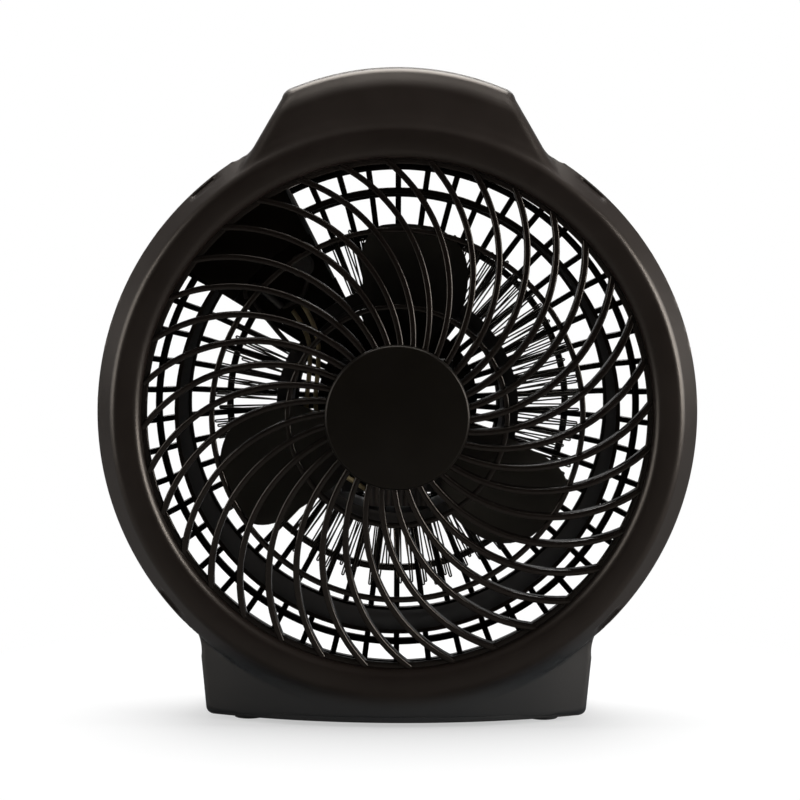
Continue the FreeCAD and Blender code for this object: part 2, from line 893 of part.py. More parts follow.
def vane_point(reach, side):
    """Point of a vane's edge at a distance from the fan axis."""
    opening = angle_of_cosine((vane_cosine - reach * reach) / vane_product)
    angle = size.vane_arc_angle + 180 + opening
    centre_x, centre_y = polar(size.vane_arc_offset, size.vane_arc_angle)
    edge_x, edge_y = polar(size.vane_arc_radius + size.vane_width * side / 2, angle)
    return centre_x + edge_x, centre_y + edge_y


def guard_front(radius):
    """Depth of the chord of the guard's dome at a radius."""
    share = (radius - size.vane_inner_radius) / (size.vane_outer_radius - size.vane_inner_radius)
    return (size.guard_hub_reach - size.guard_rim_front) * share - size.guard_hub_reach


guard_dome = turned("guard_dome", [
    (size.vane_inner_radius, -size.guard_hub_reach),
    Bend("left", size.guard_dome_radius), (size.vane_outer_radius, -size.guard_rim_front),
    (size.vane_outer_radius, size.guard_vane_depth - size.guard_rim_front),
    Bend("right", size.guard_dome_radius),
    (size.vane_inner_radius, size.guard_vane_depth - size.guard_hub_reach),
])
vanes = new_body("vanes")
vane_sketch = new_sketch(vanes, "XZ_Plane", -size.split_depth)
draw(vane_sketch, [
    vane_point(size.vane_inner_radius, 1), Bend("left", size.vane_arc_radius + size.vane_width / 2),
    vane_point(size.vane_outer_radius, 1), vane_point(size.vane_outer_radius, -1),
    Bend("right", size.vane_arc_radius - size.vane_width / 2), vane_point(size.vane_inner_radius, -1),
])
around(vanes, add_pad(vanes, vane_sketch, size.split_depth - front_end), size.vane_count)
guard_rim_front = size.lip_thickness - size.lip_reach
guard_rim = band("guard_rim", size.guard_rim_inner_radius, size.guard_rim_outer_radius,
                 guard_rim_front, guard_rim_front + size.guard_rim_thickness)
guard_hub = rod("guard_hub", size.guard_hub_radius, -size.guard_hub_reach,
                size.guard_hub_thickness - size.guard_hub_reach)
guard_rings = []
for index, radius in enumerate((size.guard_inner_ring_radius, size.guard_outer_ring_radius)):
    ring_front = guard_front(radius) + size.guard_ring_setback
    guard_rings.append(band(f"guard_ring_{index}", radius - size.guard_ring_width / 2,
                            radius + size.guard_ring_width / 2, ring_front,
                            ring_front + size.guard_ring_thickness))
finish("front_grille", fuse(
    "front_grille", common("domed_vanes", guard_dome, vanes), guard_rim, guard_hub, *guard_rings,
))

# Centre cap on the hub plate

cap_inside = size.cap_radius - size.cap_wall
finish("centre_cap", turned("centre_cap", [
    (0, -size.cap_crown_reach), Bend("left", size.cap_dome_radius), (size.cap_radius, -size.cap_edge_reach),
    (size.cap_radius, -size.guard_hub_reach), (cap_inside, -size.guard_hub_reach),
    (cap_inside, size.cap_wall - size.cap_edge_reach), (0, size.cap_wall - size.cap_edge_reach),
]))

# Rear guard: straight spokes and rings on a dished dome

dome_profile = [
    (size.dome_rim_radius, size.dome_rim_depth), (size.dome_waist_radius, size.dome_waist_depth),
    (size.dome_turn_radius, size.dome_turn_depth), (size.dome_mid_radius, size.dome_mid_depth),
    (size.dome_hub_radius, size.dome_hub_depth),
]
spoke_root = size.dome_hub_radius - OVERRUN
spokes = new_body("spokes")
spoke_sketch = new_sketch(spokes, "YZ_Plane", -size.spoke_width / 2)
draw(spoke_sketch, [
    *((depth, radius) for radius, depth in dome_profile),
    (size.dome_hub_depth, spoke_root), (size.dome_hub_depth - size.dome_thickness, spoke_root),
    *(
        (depth - size.dome_thickness, radius - size.dome_thickness / 2)
        for radius, depth in reversed(dome_profile)
    ),
])
around(spokes, add_pad(spokes, spoke_sketch, size.spoke_width), size.spoke_count)
dome_back_slope = (size.dome_hub_depth - size.dome_mid_depth) / (size.dome_mid_radius - size.dome_hub_radius)
inner_ring_depth = size.dome_hub_depth - (size.inner_ring_radius - size.dome_hub_radius) * dome_back_slope
ring_places = (
    (size.inner_ring_radius, inner_ring_depth),
    (size.dome_mid_radius, size.dome_mid_depth),
    (size.dome_waist_radius, size.dome_waist_depth),
)
dome_rings = [
    band(f"dome_ring_{index}", radius - size.ring_width / 2, radius + size.ring_width / 2,
         depth - size.dome_thickness, depth)
    for index, (radius, depth) in enumerate(ring_places)
]
dome_hub = rod(
    "dome_hub", size.dome_hub_radius, size.dome_hub_depth - size.dome_thickness, size.dome_hub_depth,
)
rear_rim = cut(
    "rear_rim",
    band("rear_rim_band", size.dome_rim_radius - size.dome_thickness, size.rear_rim_radius,
         rear_seat_depth - size.rear_rim_thickness, rear_seat_depth),
    *screw_wells,
)
shroud_middle = size.shroud_radius - size.shroud_thickness / 2
shroud_seat = band("shroud_seat", shroud_middle - size.shroud_seat_width / 2,
                   shroud_middle + size.shroud_seat_width / 2, size.shroud_back,
                   size.shroud_back + size.dome_thickness)
element_seat = band("element_seat", size.seat_ring_radius - size.seat_ring_width / 2,
                    size.seat_ring_radius + size.seat_ring_width / 2, size.seat_ring_depth,
                    size.seat_ring_depth + size.dome_thickness)
lead_panel = slab("lead_panel", sector(
    size.dome_hub_radius, size.box_inner_radius, size.box_start_angle, size.box_end_angle,
), size.seat_ring_depth, size.seat_ring_depth + size.dome_thickness)
core_back = size.core_front + size.core_thickness
bracket_back = core_back + size.bracket_leg_height + size.bracket_thickness
motor_screw_places = [(size.motor_screw_offset * side, 0) for side in (-1, 1)]
motor_bosses = [
    rod(f"motor_boss_{index}", size.motor_boss_radius, bracket_back,
        size.dome_hub_depth - size.dome_thickness / 2, x, z)
    for index, (x, z) in enumerate(motor_screw_places)
]
motor_pilots = [
    rod(f"motor_pilot_{index}", size.screw_radius + size.running_gap, bracket_back,
        size.dome_hub_depth - size.dome_thickness, x, z)
    for index, (x, z) in enumerate(motor_screw_places)
]
clearance_angle = size.box_clearance / size.box_inner_radius * 180 / math.pi
box_window = slab("box_window", sector(
    size.box_inner_radius - size.box_clearance, size.box_outer_radius + size.box_clearance,
    size.box_start_angle - clearance_angle, size.box_end_angle + clearance_angle,
), 0, size.dome_hub_depth + OVERRUN)
finish("rear_grille", cut(
    "rear_grille",
    fuse(
        "rear_guard", spokes, dome_hub, *dome_rings, rear_rim, shroud_seat, element_seat, lead_panel,
        *motor_bosses,
    ),
    box_window, *motor_pilots,
))

# Collar round the fan, open where the control box passes

finish("fan_shroud", cut(
    "fan_shroud",
    band("shroud_ring", size.shroud_radius - size.shroud_thickness, size.shroud_radius,
         size.shroud_front, size.shroud_back),
    box_window,
))

# Control box with its cover, switch, thermostat and terminal block

box_middle_angle = (size.box_start_angle + size.box_end_angle) / 2
wall_angle = size.box_wall / size.box_step_radius * 180 / math.pi
hollow_start = size.box_start_angle + wall_angle
hollow_end = size.box_end_angle - wall_angle
box_floor = size.box_back - size.box_wall
box_outside = fuse(
    "box_outside",
    slab("box_outer", sector(size.box_step_radius, size.box_outer_radius, size.box_start_angle,
                             size.box_end_angle), size.box_front, size.box_back),
    slab("box_inner", sector(size.box_inner_radius, size.box_step_radius, size.box_start_angle,
                             size.box_end_angle), size.box_step_depth, size.box_back),
)
box_outer_hollow = slab("box_outer_hollow", sector(
    size.box_step_radius + size.box_wall, size.box_outer_radius - size.box_wall, hollow_start, hollow_end,
), size.box_front - OVERRUN, box_floor)
box_inner_hollow = slab("box_inner_hollow", sector(
    size.box_inner_radius + size.box_wall, size.box_step_radius + size.box_wall + OVERRUN,
    hollow_start, hollow_end,
), size.box_step_depth + size.box_wall, box_floor)
knob_places = {
    "selector": polar(size.selector_place_radius, box_middle_angle),
    "thermostat": polar(size.thermostat_place_radius, box_middle_angle),
}
spindle_holes = [
    rod(f"{name}_hole", size.spindle_hole_radius, box_floor, size.box_back, x, z)
    for name, (x, z) in knob_places.items()
]
finish("control_box", cut("control_box", box_outside, box_outer_hollow, box_inner_hollow, *spindle_holes))
finish("control_cover", slab("control_cover", sector(
    size.box_step_radius, size.box_outer_radius, size.box_start_angle, size.box_end_angle,
), size.box_front - size.cover_thickness, size.box_front))


def knob_set(name):
    """Knob outside the box and the spindle that carries it."""
    x, z = knob_places[name]
    front = size.box_back + size.knob_gap
    skirt = rod(f"{name}_skirt", size.knob_radius, front, front + size.knob_skirt_height, x, z)
    grip = common(
        f"{name}_grip", rod(f"{name}_grip_round", size.knob_radius, front, knob_back, x, z),
        block(f"{name}_grip_bar", (x - size.knob_grip_half_width, x + size.knob_grip_half_width),
              (front, knob_back), (z - size.knob_radius, z + size.knob_radius)),
    )
    spindle_end = front + size.knob_skirt_height
    socket = rod(f"{name}_socket", size.spindle_radius + size.running_gap, front, spindle_end, x, z)
    finish(f"{name}_knob", cut(f"{name}_knob", fuse(f"{name}_knob_body", skirt, grip), socket))
    finish(f"{name}_spindle", group(f"{name}_spindle", rod(
        f"{name}_spindle_bar", size.spindle_radius, box_floor - size.spindle_depth, spindle_end, x, z)))
    return rod(f"{name}_bearing", size.spindle_radius + size.running_gap,
               box_floor - size.spindle_depth, box_floor, x, z)


finish("selector_switch", cut(
    "selector_switch",
    slab("switch_body", tangent_rectangle(size.selector_place_radius, box_middle_angle,
                                          size.switch_half_width * 2, size.switch_half_width * 2),
         box_floor - size.switch_depth, box_floor),
    knob_set("selector"),
))
finish("thermostat", cut(
    "thermostat",
    rod("thermostat_body", size.thermostat_body_radius, box_floor - size.thermostat_depth, box_floor,
        *knob_places["thermostat"]),
    knob_set("thermostat"),
))
finish("terminal_block", slab("terminal_block", tangent_rectangle(
    size.selector_place_radius, box_middle_angle, size.terminal_width, size.terminal_height,
), size.terminal_front, size.terminal_front + size.terminal_depth))

# Motor: laminated core with its coil, two brackets, bushes and screws

screw_hole_radius = size.screw_radius + size.screw_clearance
bracket_front = size.core_front - size.bracket_leg_height - size.bracket_thickness
motor_screw_holes = [
    rod(f"motor_screw_hole_{index}", screw_hole_radius, bracket_front, bracket_back, x, z)
    for index, (x, z) in enumerate(motor_screw_places)
]
limb_top = size.limb_height - size.core_drop
core_span = (size.core_front, core_back)
finish("motor_core", cut(
    "motor_core",
    block(
        "core_block", (-size.core_half_width, size.core_half_width), core_span,
        (-size.core_drop, size.core_top),
    ),
    rod("core_bore", size.bore_radius, *core_span),
    block("core_window", (-size.window_half_width, size.window_half_width), core_span,
          (limb_top, -size.window_top_drop)),
    *motor_screw_holes,
))
coil_inner_y = (size.core_front - size.coil_clearance, core_back + size.coil_clearance)
coil_inner_z = (-size.core_drop - size.coil_clearance, limb_top + size.coil_clearance)
coil_span = (-size.coil_half_width, size.coil_half_width)
finish("motor_coil", cut(
    "motor_coil",
    block("coil_block", coil_span, (coil_inner_y[0] - size.coil_build, coil_inner_y[1] + size.coil_build),
          (coil_inner_z[0] - size.coil_build, coil_inner_z[1] + size.coil_top_build)),
    block("coil_tunnel", coil_span, coil_inner_y, coil_inner_z),
))


def bracket(label, plate_span, leg_span):
    """Bridge across the core that carries a bush on the fan axis."""
    half_width = size.core_half_width
    tall = (-size.bracket_half_height, size.bracket_half_height)
    parts = [block(f"{label}_plate", (-half_width, half_width), plate_span, tall)]
    parts.append(block(f"{label}_leg_left", (-half_width, -size.bracket_leg_inner), leg_span, tall))
    parts.append(block(f"{label}_leg_right", (size.bracket_leg_inner, half_width), leg_span, tall))
    seat = rod(f"{label}_seat", size.bush_radius + size.running_gap, *plate_span)
    finish(label, cut(label, fuse(f"{label}_body", *parts), seat, *motor_screw_holes))


bracket("front_bracket", (bracket_front, bracket_front + size.bracket_thickness),
        (bracket_front + size.bracket_thickness, size.core_front))
bracket("rear_bracket", (bracket_back - size.bracket_thickness, bracket_back),
        (core_back, bracket_back - size.bracket_thickness))
shaft_bore = size.shaft_radius + size.running_gap
finish("motor_bushes", group(
    "motor_bushes",
    band("front_bush", shaft_bore, size.bush_radius, bracket_front, bracket_front + size.bush_length),
    band("rear_bush", shaft_bore, size.bush_radius, bracket_back - size.bush_length, bracket_back),
))
finish("motor_rotor", band("motor_rotor", shaft_bore, size.bore_radius - size.air_gap, *core_span))
finish("motor_shaft", group(
    "motor_shaft", rod("shaft_bar", size.shaft_radius, size.shaft_front, bracket_back)))


def screw(label, seat, tip, head_end, x, z):
    head_span = sorted((seat, head_end), key=lambda end: end.value)
    head = rod(f"{label}_head", size.screw_head_radius, *head_span, x, z)
    shank = rod(f"{label}_shank", size.screw_radius, *sorted((seat, tip), key=lambda end: end.value), x, z)
    return fuse(label, head, shank)


finish("motor_screws", group("motor_screws", *[
    screw(f"motor_screw_{index}", bracket_front, size.dome_hub_depth - size.dome_thickness - OVERRUN,
          bracket_front - size.screw_head_height, x, as_size(z))
    for index, (x, z) in enumerate(motor_screw_places)
]))

# Fan and its nut

fan = new_body("fan_blades")
fan_sketch = new_sketch(fan, "XY_Plane")
draw(fan_sketch, [
    (shaft_bore, size.fan_hub_front), (size.fan_hub_radius, size.fan_hub_front),
    (size.fan_hub_radius, size.fan_hub_back), (shaft_bore, size.fan_hub_back),
])
fan_turn = fan.newObject("PartDesign::Revolution", "fan_hub_turn")
fan_turn.Profile = fan_sketch
fan_turn.ReferenceAxis = (fan_sketch, ["V_Axis"])
fan_turn.Angle = 360
blade_sketch = new_sketch(fan, "XZ_Plane")
blade_sketch.AttachmentOffset = FreeCAD.Placement(
    FreeCAD.Vector(), FreeCAD.Rotation(FreeCAD.Vector(0, 1, 0), size.blade_pitch.value))
bind(blade_sketch, "AttachmentOffset.Base.z", -size.blade_centre - size.blade_thickness / 2)
bind(blade_sketch, "AttachmentOffset.Rotation.Angle", size.blade_pitch)
root_half = size.blade_root_half_width
tip = size.blade_tip_radius
lead_tip = size.blade_lead_tip_offset
trail_tip = size.blade_trail_tip_offset
draw(blade_sketch, [
    (root_half, size.blade_root_radius), (root_half, size.blade_lead_neck_radius),
    (size.blade_half_chord, size.blade_lead_swell_radius),
    Bend("left", size.blade_lead_round), (lead_tip, chord_height(tip, lead_tip)),
    Bend("left", tip), (-trail_tip, chord_height(tip, trail_tip)),
    (-size.blade_half_chord, size.blade_trail_corner_radius),
    (-size.blade_trail_waist_offset, size.blade_trail_waist_radius),
    (-root_half, size.blade_trail_neck_radius), (-root_half, size.blade_root_radius),
])
around(fan, add_pad(fan, blade_sketch, size.blade_thickness), size.blade_count)
finish("fan_blades", fan)
fan.Placement = FreeCAD.Placement(
    FreeCAD.Vector(), FreeCAD.Rotation(FreeCAD.Vector(0, 1, 0), size.blade_angle.value))
bind(fan, "Placement.Rotation.Angle", size.blade_angle)
finish("fan_nut", band("fan_nut", shaft_bore, size.nut_radius,
                       size.fan_hub_front - size.nut_thickness, size.fan_hub_front))

# Heating element: two layers of fine wire hairpins round an insulating frame

grip_half = size.wire_radius + size.mica_grip_gap
flanges = []
for index, depth in enumerate((size.front_wire_depth, size.rear_wire_depth)):
    for side in (-1, 1):
        faces = sorted((depth + grip_half * side, depth + (grip_half + size.mica_flange_thickness) * side),
                       key=lambda face: face.value)
        flanges.append(band(f"mica_flange_{index}_{side + 1}", size.mica_radius - size.mica_thickness,
                            size.mica_flange_radius, *faces))
mica_tube = band("mica_tube", size.mica_radius - size.mica_thickness, size.mica_radius,
                 size.mica_front, size.seat_ring_depth)
lead_notch = slab("lead_notch", sector(
    size.mica_radius - size.mica_thickness - OVERRUN, size.mica_flange_radius + OVERRUN,
    size.lead_notch_start_angle, size.lead_notch_end_angle,
), size.mica_front - OVERRUN, size.lead_notch_depth)
finish("element_frame", cut("element_frame", fuse("mica_body", mica_tube, *flanges), lead_notch))


def at(radius, angle, depth):
    turn = math.radians(angle)
    return FreeCAD.Vector(radius * math.cos(turn), depth, radius * math.sin(turn))


def tube(edges, radius):
    path = Part.Wire(edges)
    start = edges[0].valueAt(edges[0].FirstParameter)
    heading = edges[0].tangentAt(edges[0].FirstParameter)
    section = Part.Wire(Part.makeCircle(radius, start, heading))
    return path.makePipeShell([section], True, False)


def least_gap(edges, radius, turn_length):
    """Least clear distance between runs of a wire that are not neighbours along it."""
    points = Part.Wire(edges).discretize(Distance=GAP_STEP)
    neighbours = math.ceil(turn_length / GAP_STEP)
    nearest = min(
        point.distanceToPoint(other)
        for index, point in enumerate(points) for other in points[index + neighbours:]
    )
    return nearest - 2 * radius


def hairpin_wire(label, depth, start_angle):
    """One unbroken wire: radial legs joined by round turns at their outer and inner ends."""
    leg_count = int(size.hairpin_count.value) * 2
    pitch = size.hairpin_sweep.value / leg_count
    half = math.radians(pitch / 2)
    wire_reach = (size.element_inner_radius, size.element_outer_radius)
    ends = [radius.value * math.cos(half) for radius in wire_reach]
    edges = []
    for leg in range(leg_count):
        angle = start_angle + pitch * leg
        outwards = leg % 2 == 0
        first, last = ends if outwards else reversed(ends)
        edges.append(Part.LineSegment(at(first, angle, depth), at(last, angle, depth)).toShape())
        if leg == leg_count - 1:
            break
        centre = (size.element_outer_radius if outwards else size.element_inner_radius).value
        reach = centre * (1 + math.sin(half)) if outwards else centre * (1 - math.sin(half))
        turn = Part.Arc(
            at(last, angle, depth), at(reach, angle + pitch / 2, depth), at(last, angle + pitch, depth),
        )
        edges.append(turn.toShape())
    wire = doc.addObject("Part::Feature", label)
    wire.Shape = tube(edges, size.wire_radius.value)
    turn_length = math.pi * size.element_outer_radius.value * math.sin(half)
    gap = least_gap(edges, size.wire_radius.value, turn_length)
    print(label, "least gap to itself", round(gap, 2))
    finish(label, wire)


leg_pitch = size.hairpin_sweep / size.hairpin_count / 2
hairpin_wire("heating_wire_low", size.front_wire_depth.value, size.hairpin_start_angle.value)
hairpin_wire("heating_wire_high", size.rear_wire_depth.value,
             (size.hairpin_start_angle + leg_pitch / 2).value)


def lead(points, radius):
    """Insulated lead of straight runs joined by arcs as large as the runs allow."""
    edges = []
    start = points[0]
    for before, corner, after in zip(points, points[1:], points[2:]):
        back = (before - corner).normalize()
        ahead = (after - corner).normalize()
        trim = 0.45 * min((before - corner).Length, (after - corner).Length)
        half_opening = back.getAngle(ahead) / 2
        bisector = (back + ahead).normalize()
        reach = trim / math.cos(half_opening) - trim * math.tan(half_opening)
        arc = Part.Arc(corner + back * trim, corner + bisector * reach, corner + ahead * trim)
        edges.append(Part.LineSegment(start, corner + back * trim).toShape())
        edges.append(arc.toShape())
        start = corner + ahead * trim
    edges.append(Part.LineSegment(start, points[-1]).toShape())
    return tube(edges, radius)


def lead_group(label, routes):
    item = doc.addObject("Part::Feature", label)
    item.Shape = Part.makeCompound([
        lead([at(*point) for point in route], size.lead_radius.value) for route in routes
    ])
    finish(label, item)


# Routes of the leads, each point a distance from the fan axis, an angle and a depth

box_face = size.box_step_depth.value
box_end = size.box_inner_radius.value
fuse_depth = box_face - size.fuse_radius.value
lead_group("motor_leads", [
    [
        (box_end, 133, 42), (48, 135, 40), (38, 148, 34.5),
        (35, 185, 33.6), (34.5, 220, 33.2), (32.4, 247.5, 33.2),
    ],
    [
        (box_end, 138, 44), (49, 140, 41), (40.5, 152, 35.5),
        (39.5, 190, 33.6), (38.5, 220, 33.2), (36.4, 249.9, 33.2),
    ],
])
lead_group("element_leads", [
    [(74, 143.5, box_face), (73.5, 143.8, 31.2), (66, 145.5, 30.8), (53, 149.6, 31.4), (47.4, 151.2, 33.4)],
    [(65.1, 124.6, 32), (61.6, 127.4, 31.4), (60, 133.6, 31.6), (63, 139, fuse_depth)],
    [(77, 139, fuse_depth), (79, 140.5, 31.4), (79.2, 143, 31.4), (77, 144.2, box_face)],
])

# Overheat protection on the front of the control box

cutout_x, cutout_z = polar(size.cutout_place_radius, size.cutout_place_angle)
finish("thermal_cutout", fuse(
    "thermal_cutout",
    rod("cutout_body", size.cutout_radius, size.box_step_depth - size.cutout_height / 2, size.box_step_depth,
        cutout_x, cutout_z),
    rod("cutout_disc", size.cutout_radius - size.box_wall / 2, size.box_step_depth - size.cutout_height,
        size.box_step_depth, cutout_x, cutout_z),
))
fuse_body = doc.addObject("Part::Cylinder", "fuse_body")
fuse_body.Placement = FreeCAD.Placement(FreeCAD.Vector(), FreeCAD.Rotation(FreeCAD.Vector(0, 1, 0), -45))
bind(fuse_body, "Placement.Rotation.Angle", 90 - size.fuse_angle)
bind(fuse_body, "Radius", size.fuse_radius)
bind(fuse_body, "Height", size.fuse_outer_radius - size.fuse_inner_radius)
fuse_x, fuse_z = polar(size.fuse_inner_radius, size.fuse_angle)
set_place(fuse_body, fuse_x, size.box_step_depth - size.fuse_radius, fuse_z)
finish("thermal_fuse", group("thermal_fuse", fuse_body))

# Lead inlet and the screws of the housing and base

gland_inner_end = size.base_flat_depth - size.gland_length
gland_outer_end = size.base_flat_depth + size.gland_flange_thickness
gland_place = (size.gland_offset, gland_height)
gland_tube = cut(
    "gland_tube",
    fuse(
        "gland_body",
        rod("gland_barrel", size.gland_radius, gland_inner_end, size.base_flat_depth, *gland_place),
        rod("gland_flange", size.gland_flange_radius, size.base_flat_depth, gland_outer_end, *gland_place),
    ),
    rod("gland_bore", size.gland_bore_radius, gland_inner_end, gland_outer_end, *gland_place),
)
finish("cord_gland", gland_tube)
finish("housing_screws", group("housing_screws", *[
    screw(f"housing_screw_{index}", size.boss_seat_depth, size.split_depth - size.pilot_depth + OVERRUN,
          size.boss_seat_depth + size.screw_head_height, x, z)
    for index, (x, z) in enumerate(boss_places())
]))
base_screws = []
for index, (x, y) in enumerate(base_screw_places):
    head = post(f"base_screw_head_{index}", size.screw_head_radius, base_under - size.base_screw_head_height,
                base_under, x, y)
    shank = post(f"base_screw_shank_{index}", size.screw_radius, base_under,
                 base_boss_low + size.pilot_depth - OVERRUN, x, y)
    base_screws.append(fuse(f"base_screw_{index}", head, shank))
finish("base_screws", group("base_screws", *base_screws))

# Checks and files

doc.recompute()
for item in doc.Objects:
    if "Invalid" in item.State or "Error" in item.State:
        raise RuntimeError(f"{item.Label} failed: {item.State}")
for label, item in pieces.items():
    if item.Shape.isNull() or not item.Shape.isValid() or not item.Shape.Solids:
        raise RuntimeError(f"{label} has no valid solid")
os.makedirs("parts", exist_ok=True)
for label, item in pieces.items():
    item.Shape.exportStep(f"parts/{label}.step")
    print(label, len(item.Shape.Solids), round(item.Shape.Volume), item.Shape.BoundBox)
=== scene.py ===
"""Looks of a compact round fan heater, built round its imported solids.

Shapes are drawn in millimetres about the fan axis: x to the right, z up and depth backwards from the front
edge of the drum. to_frame() carries them into the part's own frame, in metres.
"""
import json
import math
import random

import bmesh
import bpy
import numpy as np
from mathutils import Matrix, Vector


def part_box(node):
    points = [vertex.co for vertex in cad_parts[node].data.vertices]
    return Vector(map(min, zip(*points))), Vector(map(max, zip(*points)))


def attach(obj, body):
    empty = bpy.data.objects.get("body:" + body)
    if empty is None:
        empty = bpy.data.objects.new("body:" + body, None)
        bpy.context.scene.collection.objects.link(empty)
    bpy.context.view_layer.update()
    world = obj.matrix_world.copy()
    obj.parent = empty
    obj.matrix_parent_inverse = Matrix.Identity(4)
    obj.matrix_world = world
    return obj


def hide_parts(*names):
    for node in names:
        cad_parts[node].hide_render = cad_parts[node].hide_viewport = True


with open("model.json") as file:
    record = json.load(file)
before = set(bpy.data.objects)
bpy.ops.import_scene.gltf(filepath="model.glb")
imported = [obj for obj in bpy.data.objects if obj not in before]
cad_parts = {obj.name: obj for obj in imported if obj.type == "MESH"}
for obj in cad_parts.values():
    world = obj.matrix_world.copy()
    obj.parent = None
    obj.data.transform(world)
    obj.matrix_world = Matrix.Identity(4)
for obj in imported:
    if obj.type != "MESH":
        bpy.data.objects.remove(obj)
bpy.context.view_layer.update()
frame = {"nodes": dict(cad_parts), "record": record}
nodes = frame["nodes"]

# Where the solids put the heater

MM = 0.001
SEAM_DEPTH = 12.0
cap_low, cap_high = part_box("centre_cap")
AXIS_HEIGHT = (cap_low.z + cap_high.z) / 2
DRUM_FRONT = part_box("front_housing")[1].y - SEAM_DEPTH * MM

# Sizes of the housing, in millimetres

DRUM_RADIUS = 120.0
CREASE_RADIUS = 111.6
CREASE_DEPTH = -9.6
CREASE_ROUND = 4.0
SHOULDER_TOP = (114.3, -7.95)
LIP_RADIUS = 101.8
LIP_DEPTH = -9.2
LIP_THICKNESS = 3.2
LIP_ROUND = 3.0
LIP_CURVE_RADIUS = 4.6
BEZEL_CROWN_RADIUS = 30.0
ARCH_CENTRE = 26.0
ARCH_RADIUS = 112.0
HANDLE_ROOT = (66.0, 100.22)
HANDLE_NECK = (57.2, 106.4)
HANDLE_CORNER = (46.4, 125.3)
HANDLE_ARCH_END = (42.0, 129.82)
HANDLE_ROOT_BLEND = 14.0
HANDLE_ROOT_EDGE_ROUND = 2.0
HANDLE_CORNER_ROUND = 6.0
HANDLE_FACE_DEPTH = -11.8
HANDLE_FACE_RADIUS = 78.0
HANDLE_BROW_DEPTH = -4.2
HANDLE_BROW_RADIUS = 104.2
HANDLE_CROWN_RADIUS = 14.0
HANDLE_CROWN_DEPTH = 6.5
HANDLE_EDGE_ROUND = 4.0
BASE_DROP = 123.2
BASE_HALF_WIDTH = 77.4
BASE_CORNER = 3.0
BASE_FLARE = (79.4, -100.0)
BASE_ROOT = (86.0, -83.69)
BASE_ROOT_BLEND = 18.0
BASE_BOW_RADIUS = 185.0
BASE_EDGE_ROUND = 1.6
BLEND_REACH = 6.0
BLEND_SOFTNESS = 0.4
BLEND_SOFTENING = 1.4
PAST_DRUM_SLOPE = 8.0
PAST_FLANK_SLOPE = 6.0
CROWN_USED = 0.995
HOUSING_WALL = 2.2
SEAM_LIP = 0.2
EDGE_SHARES = (0.15, 0.4, 0.7, 1.0)
STATION_COUNT = 30
STATION_CROWDING = 0.12
SLOT_RADIUS = 118.2
SLOT_WIDTH = 13.6
SLOT_HEIGHT = 2.2
SLOT_DEPTH = 1.1
SLOT_SIDE_SLOPE = 0.5
SLOT_END_SLOPE = 1.6
SLOT_ANGLES = (49.5, 130.5, 220.0, 316.0)


# Helpers for meshes

def to_frame(x, depth, z):
    return Vector((x * MM, DRUM_FRONT + depth * MM, AXIS_HEIGHT + z * MM))


def on_circle(radius, angle):
    turn = math.radians(angle)
    return radius * math.cos(turn), radius * math.sin(turn)


def arc_centre(start, end, radius, side):
    """Centre of an arc from start to end, on the named side of the way between them."""
    start, end = Vector(start), Vector(end)
    along = end - start
    rise = math.sqrt(radius ** 2 - (along.length / 2) ** 2)
    left = Vector((-along.y, along.x)).normalized()
    return (start + end) / 2 + left * rise * (1 if side == "left" else -1)


def arc(start, end, radius, side, count):
    """Points along an arc, its start included and its end left off."""
    centre = arc_centre(start, end, radius, side)
    first, last = (Vector(point) - centre for point in (start, end))
    begin = math.atan2(first.y, first.x)
    sweep = math.atan2(first.cross(last), first.dot(last))
    points = []
    for step in range(count):
        turn = begin + sweep * step / count
        points.append(tuple(centre + Vector((math.cos(turn), math.sin(turn))) * radius))
    return points


def line(start, end, count):
    """Points along a straight run, its start included and its end left off."""
    return [tuple(Vector(start).lerp(Vector(end), step / count)) for step in range(count)]


def mirrored(points):
    return [(-x, z) for x, z in reversed(points)]


def rounded(corners, radius, count=4):
    """Closed outline with each corner rounded."""
    result = []
    for index, corner in enumerate(corners):
        here = Vector(corner)
        before = (Vector(corners[index - 1]) - here).normalized()
        after = (Vector(corners[(index + 1) % len(corners)]) - here).normalized()
        half = before.angle(after) / 2
        trim = radius / math.tan(half)
        side = "left" if before.cross(after) < 0 else "right"
        result += arc(here + before * trim, here + after * trim, radius, side, count)
        result.append(tuple(here + after * trim))
    return result


def rectangle(left, right, low, high):
    return [(left, low), (right, low), (right, high), (left, high)]


def link(name, mesh):
    piece = bpy.data.objects.new(name, mesh)
    bpy.context.scene.collection.objects.link(piece)
    return piece


def tidy_mesh(mesh, smooth_angle=35):
    """Merges doubles, turns faces outwards and shades the mesh smooth except at real edges."""
    work = bmesh.new()
    work.from_mesh(mesh)
    bmesh.ops.remove_doubles(work, verts=work.verts, dist=MM / 1000)
    bmesh.ops.recalc_face_normals(work, faces=work.faces)
    for face in work.faces:
        face.smooth = True
    work.to_mesh(mesh)
    work.free()
    mesh.set_sharp_from_angle(angle=math.radians(smooth_angle))


def new_mesh(name, points, faces, material, smooth_angle=35):
    mesh = bpy.data.meshes.new(name)
    mesh.from_pydata([tuple(point) for point in points], [], faces)
    mesh.materials.append(material)
    tidy_mesh(mesh, smooth_angle)
    return mesh


def grid_faces(rows, columns, rows_closed, columns_closed):
    faces = []
    for row in range(rows if rows_closed else rows - 1):
        for column in range(columns if columns_closed else columns - 1):
            below = row * columns
            above = (row + 1) % rows * columns
            aside = (column + 1) % columns
            faces.append((below + column, below + aside, above + aside, above + column))
    return faces


